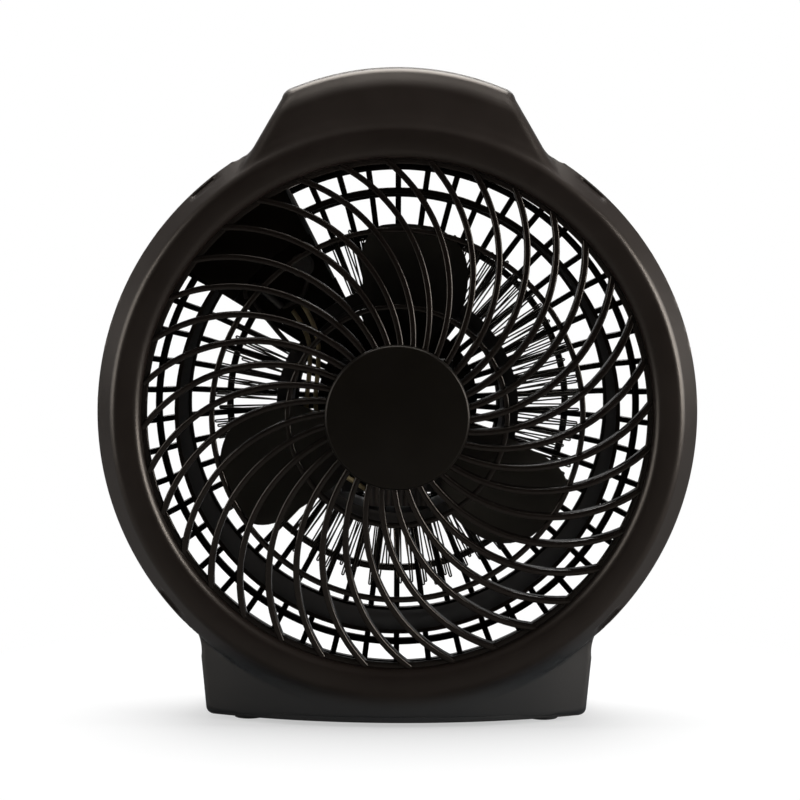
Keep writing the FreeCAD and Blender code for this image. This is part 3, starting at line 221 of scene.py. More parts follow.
def turned(name, profile, material, start=0.0, end=360.0, steps=180):
    """Closed outline (radius, depth) turned about the fan axis, whole or as a sector with flat ends."""
    whole = end - start >= 360
    rows = steps if whole else steps + 1
    points = []
    for row in range(rows):
        angle = start + (end - start) * row / steps
        for radius, depth in profile:
            x, z = on_circle(radius, angle)
            points.append(to_frame(x, depth, z))
    count = len(profile)
    faces = grid_faces(rows, count, whole, True)
    if not whole:
        faces.append(tuple(range(count)))
        faces.append(tuple(range((rows - 1) * count, rows * count)))
    return new_mesh(name, points, faces, material)


def joined(name, *meshes):
    """One mesh of several, each with the materials it has."""
    pieces = [link(f"{name}_{index}", mesh) for index, mesh in enumerate(meshes)]
    with bpy.context.temp_override(active_object=pieces[0], selected_editable_objects=pieces):
        bpy.ops.object.join()
    pieces[0].name = name
    return pieces[0]


def settled(piece):
    """Plain mesh of a piece with its modifiers applied; the piece itself goes."""
    graph = bpy.context.evaluated_depsgraph_get()
    mesh = bpy.data.meshes.new_from_object(piece.evaluated_get(graph))
    bpy.data.objects.remove(piece)
    return mesh


def stand_for(piece, body, slot, *replaced):
    """Puts a finished piece on its body in place of solids."""
    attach(piece, body)
    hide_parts(*replaced)
    return piece


# Helpers for node trees

def add_node(tree, kind, settings=(), inputs=()):
    node = tree.nodes.new(kind)
    for name, value in dict(settings).items():
        setattr(node, name, value)
    for name, value in dict(inputs).items():
        if isinstance(value, bpy.types.NodeSocket):
            tree.links.new(value, node.inputs[name])
        else:
            node.inputs[name].default_value = value
    return node


def math_node(tree, operation, *values):
    """Result of a math node on values or sockets."""
    return add_node(tree, "ShaderNodeMath", {"operation": operation}, enumerate(values)).outputs["Value"]


def new_material(name, colour, roughness, metallic=0.0):
    material = bpy.data.materials.new(name)
    material.use_nodes = True
    material.diffuse_color = (*colour, 1)
    shader = material.node_tree.nodes["Principled BSDF"]
    shader.inputs["Base Color"].default_value = (*colour, 1)
    shader.inputs["Roughness"].default_value = roughness
    shader.inputs["Metallic"].default_value = metallic
    return material, material.node_tree, shader


def object_place(tree):
    return add_node(tree, "ShaderNodeTexCoord").outputs["Object"]


def noise(tree, place, scale, detail=2.0, roughness=0.5):
    return add_node(tree, "ShaderNodeTexNoise", {}, {
        "Vector": place, "Scale": scale, "Detail": detail, "Roughness": roughness,
    }).outputs["Fac"]


def ranged(tree, value, low, high, start=0.0, end=1.0):
    return add_node(tree, "ShaderNodeMapRange", {}, {
        "Value": value, "From Min": start, "From Max": end, "To Min": low, "To Max": high,
    }).outputs["Result"]


def two_tone(tree, factor, first, second):
    mix = add_node(tree, "ShaderNodeMix", {"data_type": "RGBA"})
    tree.links.new(factor, mix.inputs["Factor"])
    for socket, colour in zip(mix.inputs[6:8], (first, second)):
        if isinstance(colour, bpy.types.NodeSocket):
            tree.links.new(colour, socket)
        else:
            socket.default_value = (*colour, 1)
    return mix.outputs[2]


def rounded_normal(tree, radius):
    return add_node(tree, "ShaderNodeBevel", {"samples": 4}, {"Radius": radius * MM}).outputs["Normal"]


def bump(tree, height, strength, distance, normal=None):
    inputs = {"Height": height, "Strength": strength, "Distance": distance * MM}
    if normal is not None:
        inputs["Normal"] = normal
    return add_node(tree, "ShaderNodeBump", {}, inputs).outputs["Normal"]


def feed(tree, shader, tone, roughness=None, normal=None):
    """Feeds a shader its colour and, where given, its roughness and its normal."""
    for name, socket in (("Base Color", tone), ("Roughness", roughness), ("Normal", normal)):
        if socket is not None:
            tree.links.new(socket, shader.inputs[name])


# Materials

WARM_SHEEN = (1.0, 0.88, 0.76)
# Where the floor's painted reflection lies on the base: below these heights and beyond these radii from the
# fan axis
FLOOR_REFLECTION_HEIGHTS = (0.026, 0.048)
FLOOR_REFLECTION_RADII = (0.1125, 0.118)
BLACK = (0.0062, 0.004, 0.0032)
BLACK_DUSTY = (0.0088, 0.006, 0.005)
# Grey painted on the base as a reflection of the pale floor
FLOOR_REFLECTION_GREY = (0.016, 0.0175, 0.019)


def moulded_plastic(name, colour, dusty, roughness, shine, grain_size, grain_depth,
                    edge_round=0.0, floor_reflection_grey=None):
    """Fine grain, uneven sheen and a little dust in the colour; given a floor grey, the base's face low down
    gets a painted reflection of the floor.
    """
    material, tree, shader = new_material(name, colour, roughness)
    shader.inputs["Specular IOR Level"].default_value = shine
    shader.inputs["Specular Tint"].default_value = (*WARM_SHEEN, 1)
    place = object_place(tree)
    grain = noise(tree, place, 1 / (grain_size * MM), detail=3.0, roughness=0.6)
    clouds = noise(tree, place, 40.0, detail=4.0, roughness=0.6)
    tone = two_tone(tree, ranged(tree, clouds, 0, 1, start=0.35, end=0.75), colour, dusty)
    # Painted reflection of the floor: the base's face turns grey low down and outside the drum
    if floor_reflection_grey:
        height = add_node(tree, "ShaderNodeSeparateXYZ", {}, {"Vector": place}).outputs["Z"]
        low = ranged(tree, height, 1, 0, *FLOOR_REFLECTION_HEIGHTS)
        from_axis = add_node(tree, "ShaderNodeMapping", {}, {
            "Vector": place, "Location": (0, 0, -AXIS_HEIGHT), "Scale": (1, 0, 1),
        }).outputs["Vector"]
        radius = add_node(tree, "ShaderNodeVectorMath", {"operation": "LENGTH"}, {"Vector": from_axis})
        outside = ranged(tree, radius.outputs["Value"], 0, 1, *FLOOR_REFLECTION_RADII)
        tone = two_tone(tree, math_node(tree, "MULTIPLY", low, outside), tone, floor_reflection_grey)
    sheen = ranged(tree, clouds, roughness - 0.05, roughness + 0.07)
    normal = rounded_normal(tree, edge_round) if edge_round else None
    feed(tree, shader, tone, sheen, bump(tree, grain, 0.4, grain_depth, normal))
    return material


def plated_metal(name, colour, dull, roughness, edge_round=0.3):
    """Plated or drawn metal with fine streaks and duller patches."""
    material, tree, shader = new_material(name, colour, roughness, 1.0)
    place = object_place(tree)
    streak_place = add_node(tree, "ShaderNodeMapping", {}, {"Vector": place, "Scale": (1800, 90, 1800)})
    streaks = noise(tree, streak_place.outputs["Vector"], 1.0, detail=2.0)
    patches = noise(tree, place, 120.0, detail=4.0)
    tone = two_tone(tree, patches, colour, dull)
    sheen = ranged(tree, patches, roughness - 0.08, roughness + 0.12)
    feed(tree, shader, tone, sheen, bump(tree, streaks, 0.2, 0.03, rounded_normal(tree, edge_round)))
    return material


def laminated_steel(name):
    """Edge of a stack of thin steel sheets."""
    material, tree, shader = new_material(name, (0.05, 0.048, 0.046), 0.5, 1.0)
    place = object_place(tree)
    sheets = add_node(tree, "ShaderNodeTexWave", {"bands_direction": "Y"}, {
        "Vector": place, "Scale": 300.0, "Distortion": 0.4, "Detail": 1.0,
    }).outputs["Fac"]
    tone = two_tone(tree, sheets, (0.02, 0.019, 0.018), (0.07, 0.066, 0.062))
    feed(tree, shader, tone, normal=bump(tree, sheets, 0.5, 0.15))
    return material


def taped_coil(name):
    """Winding wrapped in dark varnished tape, its turns telling through."""
    material, tree, shader = new_material(name, (0.02, 0.014, 0.01), 0.4)
    place = object_place(tree)
    turns = add_node(tree, "ShaderNodeTexWave", {"bands_direction": "X"}, {
        "Vector": place, "Scale": 130.0, "Distortion": 1.2, "Detail": 2.0,
    }).outputs["Fac"]
    tone = two_tone(tree, turns, (0.012, 0.008, 0.006), (0.03, 0.02, 0.013))
    feed(tree, shader, tone, normal=bump(tree, turns, 0.6, 0.3, rounded_normal(tree, 1.2)))
    return material


def mica_board(name):
    """Pressed mica sheet, darkened by heat: overlapping flakes."""
    material, tree, shader = new_material(name, (0.016, 0.012, 0.008), 0.5)
    place = object_place(tree)
    flakes = add_node(tree, "ShaderNodeTexVoronoi", {}, {"Vector": place, "Scale": 260.0})
    spread = noise(tree, place, 90.0, detail=5.0)
    tone = two_tone(tree, spread, (0.009, 0.0065, 0.0045), (0.024, 0.017, 0.012))
    sheen = ranged(tree, spread, 0.4, 0.65)
    feed(tree, shader, tone, sheen, bump(tree, flakes.outputs["Distance"], 0.3, 0.1))
    return material


def woven_sleeve(name, colour, shade):
    """Fibre sleeve of a heat-proof lead."""
    material, tree, shader = new_material(name, colour, 0.7)
    place = object_place(tree)
    threads = add_node(tree, "ShaderNodeTexChecker", {}, {
        "Vector": place, "Scale": 2200.0,
    }).outputs["Fac"]
    soil = noise(tree, place, 150.0, detail=4.0)
    feed(tree, shader, two_tone(tree, soil, shade, colour), normal=bump(tree, threads, 0.4, 0.1))
    return material


def drawn_alloy(name):
    """Resistance wire, oxidised dark and brighter in places."""
    material, tree, shader = new_material(name, (0.05, 0.04, 0.032), 0.42, 1.0)
    place = object_place(tree)
    temper = noise(tree, place, 70.0, detail=3.0)
    tone = two_tone(tree, temper, (0.025, 0.02, 0.016), (0.09, 0.075, 0.06))
    feed(tree, shader, tone, ranged(tree, temper, 0.28, 0.5))
    return material


def soft_rubber(name):
    """Dull rubber with a greyish bloom."""
    material, tree, shader = new_material(name, (0.025, 0.025, 0.025), 0.8)
    place = object_place(tree)
    bloom = noise(tree, place, 180.0, detail=5.0)
    tone = two_tone(tree, bloom, (0.02, 0.02, 0.02), (0.045, 0.045, 0.043))
    sheen = ranged(tree, bloom, 0.7, 0.92)
    feed(tree, shader, tone, sheen, bump(tree, bloom, 0.3, 0.1, rounded_normal(tree, 0.5)))
    return material


housing_plastic = moulded_plastic(
    "housing_plastic", BLACK, BLACK_DUSTY,
    roughness=0.32, shine=0.5, grain_size=0.35, grain_depth=0.04, edge_round=1.0, floor_reflection_grey=FLOOR_REFLECTION_GREY,
)
guard_plastic = moulded_plastic(
    "guard_plastic", (0.0032, 0.0022, 0.0018), (0.005, 0.0035, 0.0028),
    roughness=0.2, shine=0.4, grain_size=0.6, grain_depth=0.025,
)
cap_plastic = moulded_plastic(
    "cap_plastic", (0.0028, 0.0022, 0.0015), (0.004, 0.0033, 0.0026),
    roughness=0.3, shine=0.2, grain_size=0.25, grain_depth=0.02,
)
fan_plastic = moulded_plastic(
    "fan_plastic", (0.03, 0.027, 0.022), (0.038, 0.034, 0.028),
    roughness=0.45, shine=0.3, grain_size=0.4, grain_depth=0.04,
)
shroud_plastic = moulded_plastic(
    "shroud_plastic", (0.008, 0.0055, 0.004), (0.011, 0.0078, 0.0056),
    roughness=0.8, shine=0.05, grain_size=0.4, grain_depth=0.05,
)
inner_plastic = moulded_plastic(
    "inner_plastic", (0.006, 0.0045, 0.0033), (0.009, 0.0067, 0.005),
    roughness=0.8, shine=0.02, grain_size=0.4, grain_depth=0.05, edge_round=0.4,
)
knob_plastic = moulded_plastic(
    "knob_plastic", BLACK, BLACK_DUSTY,
    roughness=0.38, shine=0.5, grain_size=0.3, grain_depth=0.04,
)
switch_plastic = moulded_plastic(
    "switch_plastic", (0.66, 0.62, 0.52), (0.55, 0.5, 0.4),
    roughness=0.45, shine=0.5, grain_size=0.4, grain_depth=0.04, edge_round=0.4,
)
zinc_plate = plated_metal("zinc_plate", (0.3, 0.29, 0.27), (0.17, 0.165, 0.155), roughness=0.42)
screw_steel = plated_metal("screw_steel", (0.5, 0.5, 0.5), (0.34, 0.34, 0.34), roughness=0.3)
bush_bronze = plated_metal("bush_bronze", (0.6, 0.42, 0.22), (0.42, 0.28, 0.14), roughness=0.4)
cutout_metal = plated_metal("cutout_metal", (0.2, 0.19, 0.175), (0.11, 0.1, 0.09), roughness=0.42)
core_steel = laminated_steel("core_steel")
coil_tape = taped_coil("coil_tape")
mica = mica_board("mica")
cream_sleeve = woven_sleeve("cream_sleeve", (0.36, 0.28, 0.14), (0.2, 0.15, 0.07))
brown_sleeve = woven_sleeve("brown_sleeve", (0.035, 0.026, 0.018), (0.016, 0.012, 0.009))
heating_alloy = drawn_alloy("heating_alloy")
foot_rubber = soft_rubber("foot_rubber")

FINISHES = {
    "housing_plastic": housing_plastic,
    "cap_plastic": cap_plastic,
    "inner_plastic": inner_plastic,
    "knob_plastic": knob_plastic,
    "switch_plastic": switch_plastic,
    "foot_rubber": foot_rubber,
    "plated_steel": zinc_plate,
    "core_steel": core_steel,
    "coil_enamel": coil_tape,
    "bush_bronze": bush_bronze,
    "screw_steel": screw_steel,
    "mica_board": mica,
    "heating_alloy": heating_alloy,
    "lead_sleeve": cream_sleeve,
    "cutout_metal": cutout_metal,
}
for subpart in frame["record"]["subparts"]:
    for material_slot in nodes[subpart["node"]].material_slots:
        material_slot.material = FINISHES[subpart["material_slot"]]
for material_slot in nodes["fan_shroud"].material_slots:
    material_slot.material = shroud_plastic


# Front housing: one smooth skin over the bezel, the handle's face and the front of the base

def housing_outline():
    """Front view of the housing, from the right end of the sole upwards and round."""
    right_root = math.degrees(math.atan2(HANDLE_ROOT[1], HANDLE_ROOT[0]))
    base_root = math.degrees(math.atan2(BASE_ROOT[1], BASE_ROOT[0]))
    drum_steps = 150
    drum_side = [
        on_circle(DRUM_RADIUS, base_root + (right_root - base_root) * step / drum_steps)
        for step in range(drum_steps)
    ]
    handle_side = (
        arc(HANDLE_ROOT, HANDLE_NECK, HANDLE_ROOT_BLEND, "right", count=12)
        + line(HANDLE_NECK, HANDLE_CORNER, count=20)
        + arc(HANDLE_CORNER, HANDLE_ARCH_END, HANDLE_CORNER_ROUND, "left", count=8)
    )
    arch_left = (-HANDLE_ARCH_END[0], HANDLE_ARCH_END[1])
    arch = arc(HANDLE_ARCH_END, arch_left, ARCH_RADIUS, "left", count=72)
    foot = (BASE_HALF_WIDTH, BASE_CORNER - BASE_DROP)
    sole = (BASE_HALF_WIDTH - BASE_CORNER, -BASE_DROP)
    base_side = (
        arc(sole, foot, BASE_CORNER, "left", count=6)
        + line(foot, BASE_FLARE, count=16)
        + arc(BASE_FLARE, BASE_ROOT, BASE_ROOT_BLEND, "right", count=16)
    )
    under = line((-sole[0], sole[1]), sole, count=120)
    right_side = base_side + drum_side + handle_side
    left_side = mirrored(right_side[1:] + [HANDLE_ARCH_END])
    return right_side + arch + left_side + under


def rounding(distance, radius):
    """How far a rounded edge falls back at a distance from the outline."""
    inside = np.clip(radius - distance, 0, radius)
    return radius - np.sqrt(radius ** 2 - inside ** 2)


def bezel_shoulder(radius):
    """Rounded crease at the bezel's outer edge, then the slope back to the drum."""
    top_radius, top_depth = SHOULDER_TOP
    centre = arc_centre((CREASE_RADIUS, CREASE_DEPTH), SHOULDER_TOP, CREASE_ROUND, "left")
    across = np.clip(radius - centre.x, 0, CREASE_ROUND)
    crease = centre.y - np.sqrt(CREASE_ROUND ** 2 - across ** 2)
    slope = -top_depth / (DRUM_RADIUS - top_radius)
    past_drum = np.clip(radius - DRUM_RADIUS, 0, None)
    shoulder = top_depth + (radius - top_radius) * slope + past_drum * PAST_DRUM_SLOPE
    return np.where(radius < top_radius, crease, shoulder)


def handle_face(x, z):
    """Sloping face, rounded over its brow and along its flanks."""
    reach = np.hypot(x, z - ARCH_CENTRE)
    slope = (HANDLE_BROW_DEPTH - HANDLE_FACE_DEPTH) / (HANDLE_BROW_RADIUS - HANDLE_FACE_RADIUS)
    face = HANDLE_FACE_DEPTH + (reach - HANDLE_FACE_RADIUS) * slope
    centre = arc_centre((HANDLE_BROW_RADIUS, HANDLE_BROW_DEPTH), (ARCH_RADIUS, HANDLE_CROWN_DEPTH),
                        HANDLE_CROWN_RADIUS, "left")
    across = np.clip(reach - centre.x, 0, HANDLE_CROWN_RADIUS * CROWN_USED)
    crown = centre.y - np.sqrt(HANDLE_CROWN_RADIUS ** 2 - across ** 2)
    depth = np.where(reach < HANDLE_BROW_RADIUS, face, crown)
    run = Vector(HANDLE_CORNER) - Vector(HANDLE_NECK)
    outside = ((np.abs(x) - HANDLE_NECK[0]) * run.y - (z - HANDLE_NECK[1]) * run.x) / run.length
    flank = rounding(-outside, HANDLE_EDGE_ROUND) + np.clip(outside, 0, None) * PAST_FLANK_SLOPE
    return np.where(z > 0, depth + flank, SEAM_DEPTH)


def handle_root(z, edge):
    """Blend between the handle's flank and the drum, level with the drum's front edge."""
    return np.where(z > 0, rounding(edge, HANDLE_ROOT_EDGE_ROUND), SEAM_DEPTH)


def base_face(x, z, edge):
    """Bowed face of the base."""
    bow = np.sqrt(BASE_BOW_RADIUS ** 2 - x ** 2) - math.sqrt(BASE_BOW_RADIUS ** 2 - BASE_ROOT[0] ** 2)
    return np.where(z < 0, SEAM_DEPTH - bow + rounding(edge, BASE_EDGE_ROUND), SEAM_DEPTH)


def front_depth(x, z, edge):
    """Depth of the housing's front: the foremost of its forms, blended where they meet."""
    radius = np.hypot(x, z)
    outwards = np.clip((radius - CREASE_RADIUS) / BLEND_REACH, 0, 1)
    softness = BLEND_SOFTNESS + BLEND_SOFTENING * outwards
    forms = [bezel_shoulder(radius), handle_face(x, z), base_face(x, z, edge)]
    past_drum = radius > DRUM_RADIUS
    forms.append(np.where(past_drum, handle_root(z, edge), SEAM_DEPTH))
    blended = -softness * np.log(sum(np.exp(-form / softness) for form in forms))
    return np.minimum(blended, SEAM_DEPTH - SEAM_LIP)


def snap_slot_sink(x, z):
    """How far the housing's face is sunk in the four slots for snap hooks."""
    sink = np.zeros(len(x))
    for angle in SLOT_ANGLES:
        across, up = on_circle(1, angle)
        along = np.abs(x * up - z * across)
        outwards = np.abs(x * across + z * up - SLOT_RADIUS)
        ends = np.clip((SLOT_WIDTH / 2 - along) / SLOT_END_SLOPE, 0, 1)
        sides = np.clip((SLOT_HEIGHT / 2 - outwards) / SLOT_SIDE_SLOPE, 0, 1)
        sink += SLOT_DEPTH * ends * sides
    return sink


def front_housing_skin():
    """Rings from the inner lip out to the outline, then back to the seam, given a wall."""
    outline = np.array(housing_outline())
    reach = np.hypot(outline[:, 0], outline[:, 1])
    heading = outline / reach[:, None]
    lip_side = (LIP_RADIUS, LIP_DEPTH + LIP_ROUND)
    lip_front = (LIP_RADIUS + LIP_ROUND, LIP_DEPTH)
    lip = line((LIP_RADIUS, LIP_DEPTH + LIP_THICKNESS), lip_side, count=3)
    lip += arc(lip_side, lip_front, LIP_CURVE_RADIUS, "left", count=8)
    bezel = arc(lip_front, (CREASE_RADIUS, CREASE_DEPTH), BEZEL_CROWN_RADIUS, "left", count=10)
    rings = [(heading * radius, np.full(len(outline), depth)) for radius, depth in lip + bezel]
    rings.append((heading * CREASE_RADIUS, np.full(len(outline), CREASE_DEPTH)))
    for station in range(1, STATION_COUNT + 1):
        share = station / STATION_COUNT
        spread = share + STATION_CROWDING * math.sin(math.tau * share) / 2
        place = heading * (CREASE_RADIUS + (reach - CREASE_RADIUS) * spread)[:, None]
        edge = np.sqrt(((place[:, None, :] - outline[None, :, :]) ** 2).sum(2)).min(1)
        x, z = place.T
        rings.append((place, front_depth(x, z, edge) + snap_slot_sink(x, z)))
    edge_depth = rings[-1][1]
    for share in EDGE_SHARES:
        rings.append((outline, edge_depth + (SEAM_DEPTH - edge_depth) * share))
    points = [
        to_frame(x, depth, z)
        for place, depths in rings for (x, z), depth in zip(place, depths)
    ]
    faces = grid_faces(len(rings), len(outline), False, True)
    mesh = new_mesh("front_shell", points, faces, housing_plastic, smooth_angle=50)
    shell = link("front_shell", mesh)
    wall = shell.modifiers.new("wall", "SOLIDIFY")
    wall.thickness = HOUSING_WALL * MM
    wall.offset = -1
    return link("front_shell", settled(shell))


stand_for(front_housing_skin(), "housing", "housing_plastic", "front_housing")


# Tree of swept copies: one path given a rounded section, then copied round the fan axis

def swept_copies_tree():
    """Group that sweeps a rounded section along a path and turns copies of it about an axis."""
    tree = bpy.data.node_groups.new("swept_copies", "GeometryNodeTree")
    sockets = (
        ("Path", "NodeSocketGeometry"), ("Width", "NodeSocketFloat"), ("Height", "NodeSocketFloat"),
        ("Corner", "NodeSocketFloat"), ("Count", "NodeSocketInt"), ("First", "NodeSocketFloat"),
        ("Step", "NodeSocketFloat"), ("Centre", "NodeSocketVector"), ("Finish", "NodeSocketMaterial"),
    )
    for name, kind in sockets:
        tree.interface.new_socket(name, in_out="INPUT", socket_type=kind)
    tree.interface.new_socket("Copies", in_out="OUTPUT", socket_type="NodeSocketGeometry")
    given = add_node(tree, "NodeGroupInput").outputs
    path = add_node(tree, "GeometryNodeMeshToCurve", {}, {"Mesh": given["Path"]}).outputs["Curve"]
    path = add_node(tree, "GeometryNodeSetCurveNormal", {"mode": "Z_UP"}, {
        "Curve": path,
    }).outputs["Curve"]
    section = add_node(tree, "GeometryNodeCurvePrimitiveQuadrilateral", {}, {
        "Width": given["Width"], "Height": given["Height"],
    }).outputs["Curve"]
    section = add_node(tree, "GeometryNodeFilletCurve", {"mode": "POLY"}, {
        "Curve": section, "Radius": given["Corner"], "Count": 2,
    }).outputs["Curve"]
    swept = add_node(tree, "GeometryNodeCurveToMesh", {}, {
        "Curve": path, "Profile Curve": section, "Fill Caps": True,
    }).outputs["Mesh"]
    points = add_node(tree, "GeometryNodePoints", {}, {
        "Count": given["Count"], "Position": given["Centre"],
    }).outputs["Points"]
    index = add_node(tree, "GeometryNodeInputIndex").outputs["Index"]
    turn = math_node(tree, "MULTIPLY_ADD", index, given["Step"], given["First"])
    back = math_node(tree, "MULTIPLY", turn, -1)
    rotation = add_node(tree, "ShaderNodeCombineXYZ", {}, {"X": math.pi / 2, "Y": back})
    copies = add_node(tree, "GeometryNodeInstanceOnPoints", {}, {
        "Points": points, "Instance": swept, "Rotation": rotation.outputs["Vector"],
    }).outputs["Instances"]
    whole = add_node(tree, "GeometryNodeRealizeInstances", {}, {"Geometry": copies}).outputs["Geometry"]
    finished = add_node(tree, "GeometryNodeSetMaterial", {}, {
        "Geometry": whole, "Material": given["Finish"],
    })
    shown = add_node(tree, "NodeGroupOutput")
    tree.links.new(finished.outputs["Geometry"], shown.inputs["Copies"])
    return tree


swept_copies = swept_copies_tree()


def swept(name, path, width, height, corner, finish, count=1, first=0.0, step=0.0):
    """Mesh of copies of a path (x, z, depth) with a rounded section, set round the fan axis by angle."""
    start = bpy.data.meshes.new(name)
    start.from_pydata(
        [(x * MM, z * MM, -depth * MM) for x, z, depth in path],
        [(index, index + 1) for index in range(len(path) - 1)], [],
    )
    piece = link(name, start)
    modifier = piece.modifiers.new("copies", "NODES")
    modifier.node_group = swept_copies
    values = {
        "Width": width * MM, "Height": height * MM, "Corner": corner * MM, "Count": count,
        "First": math.radians(first), "Step": math.radians(step),
        "Centre": (0.0, DRUM_FRONT, AXIS_HEIGHT), "Finish": finish,
    }
    for item in swept_copies.interface.items_tree:
        if item.in_out == "INPUT" and item.name in values:
            modifier[item.identifier] = values[item.name]
    mesh = settled(piece)
    tidy_mesh(mesh, smooth_angle=50)
    return mesh


# Front guard: swirling vanes on a shallow dome, two rings, rim and hub plate

VANE_COUNT = 36
VANE_WIDTH = 2.4
VANE_HEIGHT = 8.0
VANE_CORNER = 0.5
VANE_ARC_RADIUS = 65.2
VANE_ARC_OFFSET = 66.8
VANE_ARC_ANGLE = 42.1
VANE_INNER_RADIUS = 25.0
VANE_OUTER_RADIUS = 101.5
GUARD_HUB_DEPTH = -14.0
GUARD_EDGE_DEPTH = -6.4
GUARD_DOME_RISE = 1.76
GUARD_RING_RADII = (43.5, 73.7)
GUARD_RING_WIDTH = 2.2
GUARD_RING_SETBACK = 1.9
GUARD_RING_HEIGHT = 2.4
GUARD_RING_CORNER = 0.6
GUARD_RIM_RADII = (99.7, 106.0)
GUARD_RIM_DEPTHS = (-5.5, -2.9)
GUARD_RIM_CORNER = 0.5
HUB_PLATE_RADIUS = 28.2
HUB_PLATE_THICKNESS = 3.0
HUB_PLATE_EDGE = 0.6


def guard_depth(radius):
    """Front of the guard's dome at a radius."""
    share = (radius - VANE_INNER_RADIUS) / (VANE_OUTER_RADIUS - VANE_INNER_RADIUS)
    fall = (GUARD_EDGE_DEPTH - GUARD_HUB_DEPTH) * share
    rise = 4 * GUARD_DOME_RISE * share * (1 - share)
    return GUARD_HUB_DEPTH + fall - rise


def vane_path(point_count=28):
    """Line down the middle of a vane: an arc seen from the front, laid under the guard's dome."""
    path = []
    for step in range(point_count):
        reach = VANE_INNER_RADIUS + (VANE_OUTER_RADIUS - VANE_INNER_RADIUS) * step / (point_count - 1)
        squares = VANE_ARC_OFFSET ** 2 + VANE_ARC_RADIUS ** 2 - reach ** 2
        opening = math.degrees(math.acos(squares / (2 * VANE_ARC_OFFSET * VANE_ARC_RADIUS)))
        centre = on_circle(VANE_ARC_OFFSET, VANE_ARC_ANGLE)
        edge = on_circle(VANE_ARC_RADIUS, VANE_ARC_ANGLE + 180 + opening)
        path.append((centre[0] + edge[0], centre[1] + edge[1], guard_depth(reach) + VANE_HEIGHT / 2))
    return path


def front_guard():
    vanes = swept("vanes", vane_path(), VANE_WIDTH, VANE_HEIGHT, VANE_CORNER, guard_plastic,
                  VANE_COUNT, step=360 / VANE_COUNT)
    rings = []
    for radius in GUARD_RING_RADII:
        front = guard_depth(radius) + GUARD_RING_SETBACK
        half = GUARD_RING_WIDTH / 2
        section = rectangle(radius - half, radius + half, front, front + GUARD_RING_HEIGHT)
        rings.append(turned("guard_ring", rounded(section, GUARD_RING_CORNER), guard_plastic))
    rim_section = rounded(rectangle(*GUARD_RIM_RADII, *GUARD_RIM_DEPTHS), GUARD_RIM_CORNER)
    rim = turned("guard_rim", rim_section, guard_plastic)
    plate_back = GUARD_HUB_DEPTH + HUB_PLATE_THICKNESS
    plate = turned("hub_plate", [
        (0, GUARD_HUB_DEPTH), (HUB_PLATE_RADIUS - HUB_PLATE_EDGE, GUARD_HUB_DEPTH),
        (HUB_PLATE_RADIUS, GUARD_HUB_DEPTH + HUB_PLATE_EDGE), (HUB_PLATE_RADIUS, plate_back), (0, plate_back),
    ], guard_plastic)
    return joined("front_guard", vanes, rim, plate, *rings)


stand_for(front_guard(), "housing", "housing_plastic", "front_grille")

# Centre cap: a shallow plain dome with a soft edge

CAP_RADIUS = 28.7
CAP_CROWN_DEPTH = -19.5
CAP_FALL = 1.375
CAP_EDGE_ROUND = 1.4
CAP_STEPS = 12


def centre_cap():
    profile = []
    inner = CAP_RADIUS - CAP_EDGE_ROUND
    for step in range(CAP_STEPS + 1):
        radius = inner * step / CAP_STEPS
        profile.append((radius, CAP_CROWN_DEPTH + CAP_FALL * (radius / inner) ** 2))
    corner = (CAP_RADIUS, profile[-1][1] + CAP_EDGE_ROUND)
    profile = profile[:-1] + arc(profile[-1], corner, CAP_EDGE_ROUND, "left", count=8)
    profile += [corner, (CAP_RADIUS, GUARD_HUB_DEPTH), (0, GUARD_HUB_DEPTH)]
    return link("plain_cap", turned("plain_cap", profile, cap_plastic))


stand_for(centre_cap(), "housing", "cap_plastic", "centre_cap")

# Rear guard: straight spokes down a dished dome, rings, rim and hub, open where the control box passes

SPOKE_COUNT = 50
SPOKE_WIDTH = 2.4
DOME_THICKNESS = 3.0
DOME_PROFILE = ((32.0, 70.0), (71.1, 65.0), (90.0, 59.5), (99.4, 45.0), (109.4, 38.5))
DOME_CORNER = 0.5
DOME_RINGS = (DOME_PROFILE[1], DOME_PROFILE[3])
INNER_RING = (43.4, 68.73)
DOME_RING_WIDTH = 2.8
SPOKE_EASING = (-3.0, -1.5, 0.0, 1.5, 3.0)
WINDOW_ANGLES = (116.7, 146.3)
WINDOW_INNER_RADIUS = 58.7
REAR_RIM_RADII = (106.4, 107.6, 112.0)
REAR_RIM_DEPTHS = (36.5, 39.5)
SHROUD_SEAT_RADII = (86.8, 90.8)
SHROUD_SEAT_DEPTHS = (54.0, 57.0)
ELEMENT_SEAT_RADII = (42.5, 48.5)
ELEMENT_SEAT_DEPTHS = (63.4, 66.4)
SEAT_CORNER = 0.4
BOX_END = 59.0
SCREW_WELLS = (244.0, 296.0)
SCREW_WELL_HALF_ANGLE = 1.7
REAR_HUB_RADIUS = 34.0
REAR_HUB_EDGE = 1.0
REAR_HUB_DISH_RADII = (16.0, 17.0)
REAR_HUB_DISH_DEPTH = 1.2


def dome_depth(radius):
    """Outer face of the dome at a radius, along straight runs between its corners."""
    for (near, near_depth), (far, far_depth) in zip(DOME_PROFILE, DOME_PROFILE[1:]):
        if radius <= far:
            return near_depth + (far_depth - near_depth) * (radius - near) / (far - near)
    return DOME_PROFILE[-1][1]


def spoke_path(outer_radius, point_count):
    """Line down the middle of a spoke that points straight up, eased over the dome's corners."""
    start = DOME_PROFILE[0][0]
    path = []
    for step in range(point_count):
        radius = start + (outer_radius - start) * step / (point_count - 1)
        spread = [dome_depth(radius + shift) for shift in SPOKE_EASING]
        path.append((0.0, radius - DOME_THICKNESS / 4, sum(spread) / len(spread) - DOME_THICKNESS / 2))
    return path


def dome_ring(name, radius, depth, *ends):
    half = DOME_RING_WIDTH / 2
    section = rectangle(radius - half, radius + half, depth - DOME_THICKNESS, depth)
    return turned(name, rounded(section, DOME_CORNER), guard_plastic, *ends)


def spokes(name, outer_radius, point_count, count, first, step):
    path = spoke_path(outer_radius, point_count)
    return swept(name, path, SPOKE_WIDTH, DOME_THICKNESS, DOME_CORNER, guard_plastic, count, first, step)


